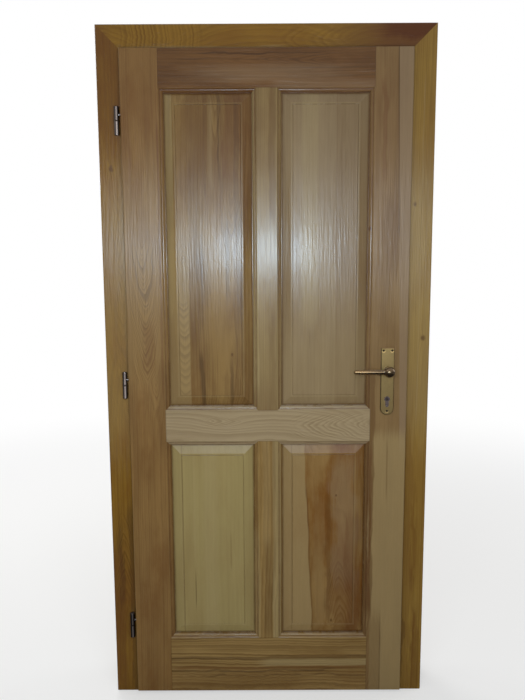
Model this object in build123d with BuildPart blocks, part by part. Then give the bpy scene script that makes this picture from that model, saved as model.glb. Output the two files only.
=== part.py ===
from build123d import *
from math import cos, radians, sin
import os

os.makedirs("parts", exist_ok=True)

# An interior door set in solid wood: a rebated leaf with four raised panels, hung on
# three lift-off hinges in a lined frame, with a mortise lock, long plates and levers.
# Millimetres. X runs along the wall, Y into the wall and Z up. The origin is on the
# floor, at the centre of the doorway, on the face of the wall that the leaf is on.

# Doorway and wall
passage_width = 800.0
passage_height = 1970.0
wall_thickness = 120.0

# Lined frame
jamb_thickness = 32.0
stop_width = 11.5
casing_width = 80.0
casing_thickness = 20.0
casing_cover = 10.0
casing_arris = 4.0
inner_arris = 2.0
rear_reveal = 6.0
rear_shadow_gap = 3.0
tongue_thickness = 8.0
tongue_length = 27.0
tongue_groove_depth = 28.0
seal_stem_width = 2.6
seal_stem_depth = 5.0
seal_bulb_width = 8.0
seal_bore_radius = 0.9

# Leaf
leaf_thickness = 40.0
lip_thickness = 15.0
lip_overlap = 15.0
leaf_arris = 2.0
stile_face = 110.0
top_rail_face = 110.0
middle_rail_face = 97.0
bottom_rail_face = 181.0
middle_rail_height = 829.0
mullion_face = 60.0
quirk = 4.0
quirk_width = 4.0
ovolo = 8.0
moulding_flat = 2.0
groove_width = 8.0
groove_depth = 12.0
panel_thickness = 29.0
bevel_width = 33.0
shoulder_width = 6.0
field_step = 2.5
field_step_width = 1.5
dowel_diameter = 12.0
dowel_length = 80.0
dowel_in_stile = 25.0

# Hinges
hinge_barrel_diameter = 15.0
hinge_length = 82.0
hinge_pin_diameter = 8.0
hinge_pin_length = 66.0
hinge_stud_diameter = 8.0
hinge_stud_in_leaf = 42.0
hinge_stud_in_frame = 36.0
hinge_stud_offset = 17.0
hinge_axis_offset = 12.0
hinge_washer_thickness = 0.9
hinge_end_round = 1.5
bottom_hinge_height = 232.0
top_hinge_drop = 185.5

# Lock
handle_height = 1058.0
lock_spacing = 90.0
backset = 45.0
case_thickness = 15.0
case_wall = 1.5
case_behind_spindle = 33.0
case_above_spindle = 45.0
case_below_cylinder = 30.0
forend_thickness = 3.0
forend_width = 20.0
forend_length = 235.0
bolt_thickness = 11.0
bolt_height = 32.0
latch_throw = 12.0
latch_head_length = 17.0
deadbolt_throw = 20.0
deadbolt_above_cylinder = 33.0
deadbolt_head_length = 34.0
deadbolt_tail_thickness = 4.0
guide_post_radius = 2.5
follower_radius = 11.0
follower_journal_radius = 9.0
follower_arm_width = 6.0
follower_arm_reach = 19.0
follower_foot_reach = 16.0
spindle_size = 8.0
strike_thickness = 2.0
strike_width = 21.0
strike_margin = 26.0
strike_pocket_margin = 2.0

# Profile cylinder
cylinder_front_half = 34.5
cylinder_rear_half = 27.0
cylinder_radius = 8.5
cylinder_bib_width = 10.0
cylinder_bib_drop = 24.5
cylinder_gap = 10.0
cylinder_bridge = 7.5
plug_radius = 6.5
cam_radius = 15.6
cam_width = 8.0
keyway_width = 2.2
keyway_height = 9.0
keyway_depth = 22.0
cylinder_screw_radius = 2.5

# Plates and levers
plate_width = 40.0
plate_above_spindle = 66.0
plate_below_spindle = 139.0
plate_depth = 6.0
plate_wall = 1.6
plate_edge_round = 2.0
plate_corner_radius = 4.0
plate_screw_up = 59.0
plate_screw_side = 13.0
plate_screw_down = 127.0
plate_screw_radius = 1.75
lever_neck_radius = 8.0
lever_collar_radius = 11.0
lever_collar_height = 3.0
lever_reach = 38.0
lever_hub_radius = 16.5
lever_hub_shoulder = 40.0
lever_length = 106.0
lever_bar_radius = 7.5
lever_tip_radius = 6.6
lever_socket_depth = 28.0
bush_wall = 3.0
bush_flange = 2.0
bush_flange_thickness = 1.5
grub_screw_radius = 2.5
grub_screw_length = 5.0

# Wood screws and biscuits
corner_screw_length = 60.0
corner_screw_radius = 3.0
corner_screw_height = 20.0
corner_screw_depths = (30.0, 72.0)
strike_screw_length = 25.0
forend_screw_length = 25.0
plate_screw_length = 20.0
small_screw_radius = 2.0
biscuit_length = 50.0
biscuit_width = 20.0
biscuit_thickness = 4.0

# Clearances
floor_gap = 7.5
edge_gap = 4.0
lip_gap = 1.5
seal_gap = 3.5
seal_clearance = 0.3
tongue_clearance = 0.2
panel_gap = 2.0
panel_side_clearance = 0.2
cope_clearance = 0.1
dowel_clearance = 0.1
biscuit_clearance = 0.3
stud_clearance = 0.1
pin_play = 0.05
pin_end_gap = 2.0
press_clearance = 0.02
hinge_seam = 1.0
mortise_clearance = 0.5
forend_clearance = 0.1
bolt_clearance = 0.3
hook_play = 0.6
spindle_play = 0.1
journal_play = 0.05
spring_clearance = 0.3
cylinder_clearance = 0.3
plug_play = 0.05
cam_play = 0.2
screw_clearance = 0.1
collar_gap = 0.4
bush_play = 0.08

# Places that follow from the sizes above
clear_x = passage_width / 2
rebate_x = clear_x + stop_width
body_x = rebate_x - edge_gap
leaf_x = body_x + lip_overlap
rebate_z = passage_height + stop_width
body_z = rebate_z - edge_gap
leaf_z = body_z + lip_overlap
jamb_reach = stop_width + jamb_thickness
casing_reach = stop_width + casing_width
casing_front_y = -casing_thickness
jamb_front_y = casing_front_y + casing_cover
lip_back_y = casing_front_y - lip_gap
leaf_front_y = lip_back_y - lip_thickness
leaf_back_y = leaf_front_y + leaf_thickness
leaf_mid_y = (leaf_front_y + leaf_back_y) / 2
stop_y = leaf_back_y + seal_gap
jamb_back_y = wall_thickness - rear_shadow_gap
tongue_u = jamb_reach / 2
seal_u = stop_width / 2 + 1.0

moulding_depth = quirk + ovolo
moulding_width = quirk_width + ovolo + moulding_flat
stile_x = leaf_x - stile_face
mullion_x = mullion_face / 2
top_rail_z = leaf_z - top_rail_face
middle_rail_low_z = floor_gap + middle_rail_height
middle_rail_high_z = middle_rail_low_z + middle_rail_face
bottom_rail_z = floor_gap + bottom_rail_face

barrel_x = -(leaf_x + hinge_axis_offset)
barrel_y = (leaf_front_y + lip_back_y) / 2
top_hinge_height = body_z - top_hinge_drop
hinge_heights = {
    "bottom": bottom_hinge_height,
    "middle": (bottom_hinge_height + top_hinge_height) / 2,
    "top": top_hinge_height,
}

lock_y = (lip_back_y + leaf_back_y) / 2
spindle_x = body_x - backset
cylinder_z = handle_height - lock_spacing
deadbolt_z = cylinder_z + deadbolt_above_cylinder
case_front_x = body_x - forend_thickness
case_back_x = spindle_x - case_behind_spindle
case_low_z = cylinder_z - case_below_cylinder
case_high_z = handle_height + case_above_spindle
case_half = case_thickness / 2
case_inner_half = case_half - case_wall
lock_mid_z = (case_low_z + case_high_z) / 2
bolt_slot_half = bolt_height / 2 + bolt_clearance
bolt_slot_y = bolt_thickness / 2 + bolt_clearance
strike_low_z = deadbolt_z - bolt_height / 2 - strike_margin
strike_high_z = handle_height + bolt_height / 2 + strike_margin
strike_screw_y = (jamb_front_y + casing_front_y + strike_width) / 2
strike_screw_inset = 10.0
guide_post_x = case_back_x + case_wall + deadbolt_throw + 3 * guide_post_radius
spring_post = (spindle_x + 13.5, handle_height - 29.0)
spring_post_radius = 3.8


# Sketch and solid helpers
def between(a0, a1, b0, b1, mode=Mode.ADD):
    """A rectangle in the current sketch, given by its limits."""
    with Locations(((a0 + a1) / 2, (b0 + b1) / 2)):
        Rectangle(a1 - a0, b1 - b0, mode=mode)


def block(x0, x1, y0, y1, z0, z1, mode=Mode.ADD):
    """A square-edged block in the current part, given by its limits."""
    with BuildSketch(Plane.XY.offset(z0)) as outline:
        between(x0, x1, y0, y1)
    extrude(outline.sketch, amount=z1 - z0, mode=mode)


def rod(start, direction, radius, length, mode=Mode.ADD):
    """A round bar, or with Mode.SUBTRACT a drilled hole."""
    with BuildSketch(Plane(origin=start, z_dir=direction)) as outline:
        Circle(radius)
    extrude(outline.sketch, amount=length, mode=mode)


def countersunk_screw(head, direction, radius, length, spare=0.0, mode=Mode.ADD):
    """A screw with its flat head at the given point, or with spare and Mode.SUBTRACT its hole."""
    shank, top = radius + spare, 2 * radius + spare
    side = (0, 0, 1) if direction[2] == 0 else (1, 0, 0)
    with BuildSketch(Plane(origin=head, x_dir=direction, z_dir=side)) as outline:
        with BuildLine():
            Polyline(
                (0, 0),
                (0, top),
                (radius, shank),
                (length - radius + spare, shank),
                (length + spare, 0),
                close=True,
            )
        make_face()
    revolve(outline.sketch, axis=Axis(head, direction), mode=mode)


# Frame members. Their sections are drawn with u outwards from the clear passage and
# v along Y, so that one section serves both sides and the head.
def frame_member(section, side, reach):
    """One side or the head of a mitred frame, added to the current part."""
    top = passage_height + reach
    span = 2 * (clear_x + reach)
    if side == "left":
        plane = Plane(origin=(-clear_x, 0, top), x_dir=(-1, 0, 0), z_dir=(0, 0, -1))
    elif side == "right":
        plane = Plane(origin=(clear_x, 0, 0), x_dir=(1, 0, 0), z_dir=(0, 0, 1))
    else:
        plane = Plane(
            origin=(span / 2, 0, passage_height), x_dir=(0, 0, 1), z_dir=(-1, 0, 0)
        )
    with BuildSketch(plane) as outline:
        section()
    extrude(outline.sketch, amount=span if side == "head" else top)
    for sign in (-1, 1):
        mitre = Plane(
            origin=(sign * clear_x, 0, passage_height), x_dir=(0, 1, 0), z_dir=(sign, 0, -1)
        )
        if side == "head":
            split(bisect_by=mitre, keep=Keep.BOTTOM)
        elif side == ("left" if sign < 0 else "right"):
            split(bisect_by=mitre, keep=Keep.TOP)


def jamb_section():
    """The lining: a rebate for the leaf, a stop with a seal groove and a groove at the back."""
    with BuildLine() as outline:
        FilletPolyline(
            (stop_width, jamb_front_y),
            (jamb_reach, jamb_front_y),
            (jamb_reach, jamb_back_y),
            (0, jamb_back_y),
            (0, stop_y),
            (stop_width, stop_y),
            radius=[0, 0, 0, inner_arris, inner_arris, 0],
            close=True,
        )
    make_face(outline.line)
    groove_half = tongue_thickness / 2 + tongue_clearance
    between(
        tongue_u - groove_half,
        tongue_u + groove_half,
        jamb_back_y - tongue_groove_depth,
        jamb_back_y,
        mode=Mode.SUBTRACT,
    )
    stem_half = seal_stem_width / 2
    between(
        seal_u - stem_half, seal_u + stem_half, stop_y, stop_y + seal_stem_depth, mode=Mode.SUBTRACT
    )


def front_casing_section():
    """A flat casing that covers the lining's front edge and bears on the wall."""
    with BuildLine() as outline:
        FilletPolyline(
            (stop_width, casing_front_y),
            (casing_reach, casing_front_y),
            (casing_reach, 0),
            (jamb_reach, 0),
            (jamb_reach, jamb_front_y),
            (stop_width, jamb_front_y),
            radius=[inner_arris, casing_arris, 0, 0, 0, 0],
            close=True,
        )
    make_face(outline.line)


def rear_casing_section():
    """The casing on the far side, with the tongue that slides in the lining's groove."""
    outer = rear_reveal + casing_width
    tongue_half = tongue_thickness / 2
    with BuildLine() as outline:
        FilletPolyline(
            (rear_reveal, wall_thickness),
            (tongue_u - tongue_half, wall_thickness),
            (tongue_u - tongue_half, wall_thickness - tongue_length),
            (tongue_u + tongue_half, wall_thickness - tongue_length),
            (tongue_u + tongue_half, wall_thickness),
            (outer, wall_thickness),
            (outer, wall_thickness + casing_thickness),
            (rear_reveal, wall_thickness + casing_thickness),
            radius=[0, 0, 0, 0, 0, 0, casing_arris, inner_arris],
            close=True,
        )
    make_face(outline.line)


def seal_section():
    """A hollow rubber bulb on a stem."""
    bulb_half = seal_bulb_width / 2
    bulb_height = seal_gap - seal_clearance
    stem_half = seal_stem_width / 2
    with BuildLine() as outline:
        ThreePointArc(
            (seal_u - bulb_half, stop_y),
            (seal_u, stop_y - bulb_height),
            (seal_u + bulb_half, stop_y),
        )
        Line((seal_u + bulb_half, stop_y), (seal_u - bulb_half, stop_y))
    make_face(outline.line)
    between(seal_u - stem_half, seal_u + stem_half, stop_y, stop_y + seal_stem_depth)
    with Locations((seal_u, stop_y - bulb_height / 2)):
        Circle(seal_bore_radius, mode=Mode.SUBTRACT)


def mitre_biscuit(sign, u, y, spare=0.0, mode=Mode.ADD):
    """A lens-shaped biscuit across one casing mitre, or with spare its slot."""
    half = biscuit_thickness / 2 + spare
    reach = biscuit_length / 2 + spare
    belly = biscuit_width / 2 + spare
    centre = (sign * (clear_x + u), y + half, passage_height + u)
    with BuildSketch(Plane(origin=centre, x_dir=(sign, 0, 1), z_dir=(0, -1, 0))) as outline:
        with BuildLine():
            ThreePointArc((-reach, 0), (0, belly), (reach, 0))
            ThreePointArc((reach, 0), (0, -belly), (-reach, 0))
        make_face()
    extrude(outline.sketch, amount=2 * half, mode=mode)


front_biscuit_u = (jamb_reach + casing_reach) / 2
front_biscuit_y = casing_front_y / 2
rear_biscuit_u = rear_reveal + casing_width / 2
rear_biscuit_y = wall_thickness + casing_thickness / 2


def biscuit_slots(side, u, y):
    """The slots for the biscuits in one casing."""
    for sign in {"left": (-1,), "right": (1,), "head": (-1, 1)}[side]:
        mitre_biscuit(sign, u, y, biscuit_clearance, Mode.SUBTRACT)


def corner_screws(spare=0.0, mode=Mode.ADD):
    """Screws from the outside of each jamb into the end of the head lining."""
    for sign in (-1, 1):
        for depth in corner_screw_depths:
            head = (sign * (clear_x + jamb_reach), depth, passage_height + corner_screw_height)
            countersunk_screw(
                head, (-sign, 0, 0), corner_screw_radius, corner_screw_length, spare, mode
            )


def strike_screws(spare=0.0, mode=Mode.ADD):
    """The two screws of the strike plate."""
    for z in (strike_low_z + strike_screw_inset, strike_high_z - strike_screw_inset):
        countersunk_screw(
            (rebate_x, strike_screw_y, z),
            (1, 0, 0),
            small_screw_radius,
            strike_screw_length,
            spare,
            mode,
        )


def strike_recess():
    """The seat of the strike plate and the pockets behind it, cut in the current part."""
    strike_back_x = rebate_x + strike_thickness
    block(
        rebate_x,
        strike_back_x,
        casing_front_y,
        casing_front_y + strike_width,
        strike_low_z,
        strike_high_z,
        mode=Mode.SUBTRACT,
    )
    half_y = bolt_thickness / 2 + strike_pocket_margin
    half_z = bolt_height / 2 + strike_pocket_margin
    for z, throw in ((handle_height, latch_throw), (deadbolt_z, deadbolt_throw)):
        block(
            strike_back_x,
            body_x + throw + strike_pocket_margin,
            lock_y - half_y,
            lock_y + half_y,
            z - half_z,
            z + half_z,
            mode=Mode.SUBTRACT,
        )


def frame_stud_holes():
    """Holes for the studs of the three lower hinge halves."""
    for seam_z in hinge_heights.values():
        rod(
            (barrel_x, casing_front_y, seam_z - hinge_stud_offset),
            (0, 1, 0),
            hinge_stud_diameter / 2 + stud_clearance,
            hinge_stud_in_frame,
            mode=Mode.SUBTRACT,
        )


# Lining
with BuildPart() as hinge_jamb:
    frame_member(jamb_section, "left", jamb_reach)
    frame_stud_holes()
    corner_screws(screw_clearance, Mode.SUBTRACT)
hinge_jamb.part.label = "hinge_jamb"
export_step(hinge_jamb.part, "parts/hinge_jamb.step")

with BuildPart() as lock_jamb:
    frame_member(jamb_section, "right", jamb_reach)
    strike_recess()
    strike_screws(screw_clearance, Mode.SUBTRACT)
    corner_screws(screw_clearance, Mode.SUBTRACT)
lock_jamb.part.label = "lock_jamb"
export_step(lock_jamb.part, "parts/lock_jamb.step")

with BuildPart() as head_jamb:
    frame_member(jamb_section, "head", jamb_reach)
    corner_screws(screw_clearance, Mode.SUBTRACT)
head_jamb.part.label = "head_jamb"
export_step(head_jamb.part, "parts/head_jamb.step")

# Casings
for side in ("left", "right", "head"):
    with BuildPart() as front_casing:
        frame_member(front_casing_section, side, casing_reach)
        biscuit_slots(side, front_biscuit_u, front_biscuit_y)
        if side == "left":
            frame_stud_holes()
        if side == "right":
            strike_recess()
    front_casing.part.label = f"front_casing_{side}"
    export_step(front_casing.part, f"parts/front_casing_{side}.step")

    with BuildPart() as rear_casing:
        frame_member(rear_casing_section, side, rear_reveal + casing_width)
        biscuit_slots(side, rear_biscuit_u, rear_biscuit_y)
    rear_casing.part.label = f"rear_casing_{side}"
    export_step(rear_casing.part, f"parts/rear_casing_{side}.step")

    with BuildPart() as seal:
        frame_member(seal_section, side, stop_width)
    seal.part.label = f"seal_{side}"
    export_step(seal.part, f"parts/seal_{side}.step")

with BuildPart() as mitre_biscuits:
    for sign in (-1, 1):
        mitre_biscuit(sign, front_biscuit_u, front_biscuit_y)
        mitre_biscuit(sign, rear_biscuit_u, rear_biscuit_y)
mitre_biscuits.part.label = "mitre_biscuits"
export_step(mitre_biscuits.part, "parts/mitre_biscuits.step")

with BuildPart() as jamb_corner_screws:
    corner_screws()
jamb_corner_screws.part.label = "jamb_corner_screws"
export_step(jamb_corner_screws.part, "parts/jamb_corner_screws.step")

# Strike plate
with BuildPart() as strike_plate:
    block(
        rebate_x,
        rebate_x + strike_thickness,
        casing_front_y,
        casing_front_y + strike_width,
        strike_low_z,
        strike_high_z,
    )
    for bolt_z in (handle_height, deadbolt_z):
        block(
            rebate_x,
            rebate_x + strike_thickness,
            lock_y - bolt_thickness / 2 - strike_pocket_margin,
            lock_y + bolt_thickness / 2 + strike_pocket_margin,
            bolt_z - bolt_height / 2 - strike_pocket_margin,
            bolt_z + bolt_height / 2 + strike_pocket_margin,
            mode=Mode.SUBTRACT,
        )
    strike_screws(screw_clearance, Mode.SUBTRACT)
strike_plate.part.label = "strike_plate"
export_step(strike_plate.part, "parts/strike_plate.step")

with BuildPart() as strike_plate_screws:
    strike_screws()
strike_plate_screws.part.label = "strike_plate_screws"
export_step(strike_plate_screws.part, "parts/strike_plate_screws.step")


# Leaf members. Their sections are drawn with the first coordinate across the member
# (X for uprights, Z for rails) and the second along Y.
def level_plane(x):
    """A sketch plane for sections of rails, extruded towards -X from x."""
    return Plane(origin=(x, 0, 0), x_dir=(0, 0, 1), z_dir=(-1, 0, 0))


def moulded_edge(face_line, out, spare=0.0):
    """The edge that holds a panel: quirk, ovolo and flat on both faces, with a groove between."""

    def at(u, depth):
        return (face_line + out * u, leaf_front_y + depth)

    radius = ovolo + spare
    diagonal = radius * cos(radians(45))
    start, foot = quirk - spare, moulding_depth
    far_start, far_foot = leaf_thickness - start, leaf_thickness - foot
    groove_front = (leaf_thickness - groove_width) / 2
    groove_back = (leaf_thickness + groove_width) / 2
    groove_floor = moulding_width - groove_depth
    foot_u, middle_u = quirk_width + radius, quirk_width + diagonal
    Line(at(0, 0), at(quirk_width, start))
    ThreePointArc(at(quirk_width, start), at(middle_u, foot - diagonal), at(foot_u, foot))
    Polyline(
        at(foot_u, foot),
        at(moulding_width, foot),
        at(moulding_width, groove_front),
        at(groove_floor, groove_front),
        at(groove_floor, groove_back),
        at(moulding_width, groove_back),
        at(moulding_width, far_foot),
        at(foot_u, far_foot),
    )
    ThreePointArc(
        at(foot_u, far_foot), at(middle_u, far_foot + diagonal), at(quirk_width, far_start)
    )
    Line(at(quirk_width, far_start), at(0, leaf_thickness))


def lipped_edge(face_line, body_line, lip_line):
    """The rebated outer edge, with the lip that overlaps the casing."""
    FilletPolyline(
        (face_line, leaf_back_y),
        (body_line, leaf_back_y),
        (body_line, lip_back_y),
        (lip_line, lip_back_y),
        (lip_line, leaf_front_y),
        (face_line, leaf_front_y),
        radius=[0, 0, 0, leaf_arris],
    )


def plain_edge(face_line, edge_line):
    """A square outer edge."""
    Polyline(
        (face_line, leaf_back_y),
        (edge_line, leaf_back_y),
        (edge_line, leaf_front_y),
        (face_line, leaf_front_y),
    )


def cope_over_stiles(low, high):
    """Shapes both ends of a rail to fit over the stiles' moulded edges."""
    for sign in (-1, 1):
        with BuildSketch(Plane.XY.offset(low)) as waste:
            with BuildLine():
                moulded_edge(sign * stile_x, -sign, cope_clearance)
                plain_edge(sign * stile_x, sign * leaf_x)
            make_face()
        extrude(waste.sketch, amount=high - low, mode=Mode.SUBTRACT)


def cope_over_rail(face_line, out):
    """Shapes one end of a mullion to fit over a rail's moulded edge."""
    reach = mullion_x + moulding_width
    with BuildSketch(level_plane(reach)) as waste:
        with BuildLine():
            moulded_edge(face_line, out, cope_clearance)
            plain_edge(face_line, face_line - out * reach)
        make_face()
    extrude(waste.sketch, amount=2 * reach, mode=Mode.SUBTRACT)


rail_dowel_heights = (
    floor_gap + bottom_rail_face * 0.25,
    floor_gap + bottom_rail_face * 0.75,
    middle_rail_low_z + middle_rail_face * 0.25,
    middle_rail_low_z + middle_rail_face * 0.75,
    top_rail_z + (body_z - top_rail_z) * 0.3,
    top_rail_z + (body_z - top_rail_z) * 0.75,
)
mullion_joints = (
    (bottom_rail_z, 1),
    (middle_rail_low_z, -1),
    (middle_rail_high_z, 1),
    (top_rail_z, -1),
)


def dowels(spare=0.0, mode=Mode.ADD):
    """Dowels of the rail and mullion joints, or with spare their holes."""
    radius = dowel_diameter / 2 + spare
    length = dowel_length + 2 * spare
    for sign in (-1, 1):
        outer_x = sign * (stile_x - moulding_width + dowel_in_stile + spare)
        for z in rail_dowel_heights:
            rod((outer_x, leaf_mid_y, z), (-sign, 0, 0), radius, length, mode)
    for face_line, out in mullion_joints:
        start_z = face_line + out * (moulding_width - dowel_in_stile - spare)
        rod((0, leaf_mid_y, start_z), (0, 0, out), radius, length, mode)


def stile(side):
    """A full-height stile, rebated on its outer edge and across its top."""
    with BuildSketch(Plane.XY.offset(floor_gap)) as outline:
        with BuildLine():
            moulded_edge(side * stile_x, -side)
            lipped_edge(side * stile_x, side * body_x, side * leaf_x)
        make_face()
    extrude(outline.sketch, amount=leaf_z - floor_gap)
    inner, outer = sorted((side * (stile_x - moulding_width), side * leaf_x))
    block(inner, outer, lip_back_y, leaf_back_y, body_z, leaf_z, mode=Mode.SUBTRACT)
    dowels(dowel_clearance, Mode.SUBTRACT)


# Stiles
with BuildPart() as hinge_stile:
    stile(-1)
    for seam_z in hinge_heights.values():
        rod(
            (-leaf_x, barrel_y, seam_z + hinge_stud_offset),
            (1, 0, 0),
            hinge_stud_diameter / 2 + stud_clearance,
            hinge_stud_in_leaf + stud_clearance,
            mode=Mode.SUBTRACT,
        )
hinge_stile.part.label = "hinge_stile"
export_step(hinge_stile.part, "parts/hinge_stile.step")


def face_plane(side, x=spindle_x, z=handle_height):
    """A plane on the leaf's front (side -1) or back (side 1), facing out, with Z up."""
    y = leaf_front_y if side < 0 else leaf_back_y
    return Plane(origin=(x, y, z), x_dir=(-side, 0, 0), z_dir=(0, side, 0))


def keyhole(y0, y1, spare=0.0, mode=Mode.ADD):
    """The profile of the cylinder between two depths, or with spare its hole."""
    with BuildSketch(
        Plane(origin=(spindle_x, y1, cylinder_z), x_dir=(1, 0, 0), z_dir=(0, -1, 0))
    ) as outline:
        bib_half = cylinder_bib_width / 2
        Circle(cylinder_radius + spare)
        between(-bib_half - spare, bib_half + spare, bib_half - cylinder_bib_drop, 0)
        with Locations((0, bib_half - cylinder_bib_drop)):
            Circle(bib_half + spare)
    extrude(outline.sketch, amount=y1 - y0, mode=mode)


def forend_outline(spare=0.0, mode=Mode.ADD):
    """The long forend, round at both ends, or with spare its recess."""
    face = Plane(origin=(body_x, lock_y, lock_mid_z), x_dir=(0, 0, 1), z_dir=(-1, 0, 0))
    with BuildSketch(face) as outline:
        SlotOverall(forend_length + 2 * spare, forend_width + 2 * spare)
    extrude(outline.sketch, amount=forend_thickness, mode=mode)


def forend_screw_set(spare=0.0, mode=Mode.ADD):
    """The two screws that hold the forend."""
    for sign in (-1, 1):
        z = lock_mid_z + sign * (forend_length / 2 - forend_width / 2)
        countersunk_screw(
            (body_x, lock_y, z), (-1, 0, 0), small_screw_radius, forend_screw_length, spare, mode
        )


def cylinder_fixing(spare=0.0, mode=Mode.ADD):
    """The long screw from the forend to the cylinder's bridge."""
    z = cylinder_z - cylinder_bib_drop + cylinder_bridge / 2
    length = backset + cylinder_bib_width / 2
    countersunk_screw((body_x, lock_y, z), (-1, 0, 0), cylinder_screw_radius, length, spare, mode)


def plate_screws(side, spare=0.0, mode=Mode.ADD):
    """The three screws of one plate."""
    y = leaf_front_y - plate_depth if side < 0 else leaf_back_y + plate_depth
    for dx, dz in (
        (-plate_screw_side, plate_screw_up),
        (plate_screw_side, plate_screw_up),
        (0, -plate_screw_down),
    ):
        countersunk_screw(
            (spindle_x + dx, y, handle_height + dz),
            (0, -side, 0),
            plate_screw_radius,
            plate_screw_length,
            spare,
            mode,
        )


with BuildPart() as lock_stile:
    stile(1)
    forend_outline(forend_clearance, Mode.SUBTRACT)
    block(
        case_back_x - mortise_clearance,
        case_front_x,
        lock_y - case_half - mortise_clearance,
        lock_y + case_half + mortise_clearance,
        case_low_z - mortise_clearance,
        case_high_z + mortise_clearance,
        mode=Mode.SUBTRACT,
    )
    rod(
        (spindle_x, leaf_front_y, handle_height),
        (0, 1, 0),
        lever_neck_radius + bush_wall,
        leaf_thickness,
        mode=Mode.SUBTRACT,
    )
    keyhole(leaf_front_y, leaf_back_y, mortise_clearance, Mode.SUBTRACT)
    forend_screw_set(screw_clearance, Mode.SUBTRACT)
    plate_screws(-1, screw_clearance, Mode.SUBTRACT)
    plate_screws(1, screw_clearance, Mode.SUBTRACT)
lock_stile.part.label = "lock_stile"
export_step(lock_stile.part, "parts/lock_stile.step")

# Rails
with BuildPart() as top_rail:
    with BuildSketch(level_plane(stile_x)):
        with BuildLine():
            moulded_edge(top_rail_z, -1)
            lipped_edge(top_rail_z, body_z, leaf_z)
        make_face()
    extrude(amount=2 * stile_x)
    cope_over_stiles(top_rail_z - moulding_width, leaf_z)
    dowels(dowel_clearance, Mode.SUBTRACT)
top_rail.part.label = "top_rail"
export_step(top_rail.part, "parts/top_rail.step")

with BuildPart() as middle_rail:
    with BuildSketch(level_plane(stile_x)):
        with BuildLine():
            moulded_edge(middle_rail_low_z, -1)
            moulded_edge(middle_rail_high_z, 1)
            for y in (leaf_front_y, leaf_back_y):
                Line((middle_rail_low_z, y), (middle_rail_high_z, y))
        make_face()
    extrude(amount=2 * stile_x)
    cope_over_stiles(middle_rail_low_z - moulding_width, middle_rail_high_z + moulding_width)
    dowels(dowel_clearance, Mode.SUBTRACT)
middle_rail.part.label = "middle_rail"
export_step(middle_rail.part, "parts/middle_rail.step")

with BuildPart() as bottom_rail:
    with BuildSketch(level_plane(stile_x)):
        with BuildLine():
            moulded_edge(bottom_rail_z, 1)
            plain_edge(bottom_rail_z, floor_gap)
        make_face()
    extrude(amount=2 * stile_x)
    cope_over_stiles(floor_gap, bottom_rail_z + moulding_width)
    dowels(dowel_clearance, Mode.SUBTRACT)
bottom_rail.part.label = "bottom_rail"
export_step(bottom_rail.part, "parts/bottom_rail.step")

# Mullions
for name, low, high in (
    ("upper_mullion", middle_rail_high_z, top_rail_z),
    ("lower_mullion", bottom_rail_z, middle_rail_low_z),
):
    with BuildPart() as mullion:
        with BuildSketch(Plane.XY.offset(low)):
            with BuildLine():
                moulded_edge(-mullion_x, -1)
                moulded_edge(mullion_x, 1)
                for y in (leaf_front_y, leaf_back_y):
                    Line((-mullion_x, y), (mullion_x, y))
            make_face()
        extrude(amount=high - low)
        cope_over_rail(low, 1)
        cope_over_rail(high, -1)
        dowels(dowel_clearance, Mode.SUBTRACT)
    mullion.part.label = name
    export_step(mullion.part, f"parts/{name}.step")

with BuildPart() as joint_dowels:
    dowels()
joint_dowels.part.label = "joint_dowels"
export_step(joint_dowels.part, "parts/joint_dowels.step")


# Raised panels, loose in their grooves
def raised_panel(left, right, low, high):
    """A panel for the opening between the mouldings' inner edges.

    Each face has a bevel, a narrow flat shoulder and a small sloped step up to the field.
    """
    tongue_half = groove_width / 2 - panel_side_clearance
    edge = groove_depth - panel_gap
    rise = panel_thickness / 2 - tongue_half - field_step
    width, height = right - left, high - low
    step_foot = bevel_width - field_step_width
    shoulder_edge = bevel_width - shoulder_width
    centre_x, centre_z = (left + right) / 2, (low + high) / 2
    block(
        left - edge,
        right + edge,
        leaf_mid_y - tongue_half,
        leaf_mid_y + tongue_half,
        low - edge,
        high + edge,
    )
    for side in (-1, 1):
        tongue_face = Plane(
            origin=(centre_x, leaf_mid_y + side * tongue_half, centre_z),
            x_dir=(1, 0, 0),
            z_dir=(0, side, 0),
        )
        with BuildSketch(tongue_face) as foot:
            Rectangle(width - 2 * panel_side_clearance, height - 2 * panel_side_clearance)
        with BuildSketch(tongue_face.offset(rise)) as shoulder:
            Rectangle(width - 2 * shoulder_edge, height - 2 * shoulder_edge)
        with BuildSketch(tongue_face.offset(rise)) as step:
            Rectangle(width - 2 * step_foot, height - 2 * step_foot)
        with BuildSketch(tongue_face.offset(rise + field_step)) as field:
            Rectangle(width - 2 * bevel_width, height - 2 * bevel_width)
        loft([foot.sketch.face(), shoulder.sketch.face()], ruled=True)
        loft([step.sketch.face(), field.sketch.face()], ruled=True)


panel_inner_x = mullion_x + moulding_width
panel_outer_x = stile_x - moulding_width
for name, left, right, low, high in (
    ("panel_upper_left", -panel_outer_x, -panel_inner_x, middle_rail_high_z, top_rail_z),
    ("panel_upper_right", panel_inner_x, panel_outer_x, middle_rail_high_z, top_rail_z),
    ("panel_lower_left", -panel_outer_x, -panel_inner_x, bottom_rail_z, middle_rail_low_z),
    ("panel_lower_right", panel_inner_x, panel_outer_x, bottom_rail_z, middle_rail_low_z),
):
    with BuildPart() as panel:
        raised_panel(left, right, low + moulding_width, high - moulding_width)
    panel.part.label = name
    export_step(panel.part, f"parts/{name}.step")

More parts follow.
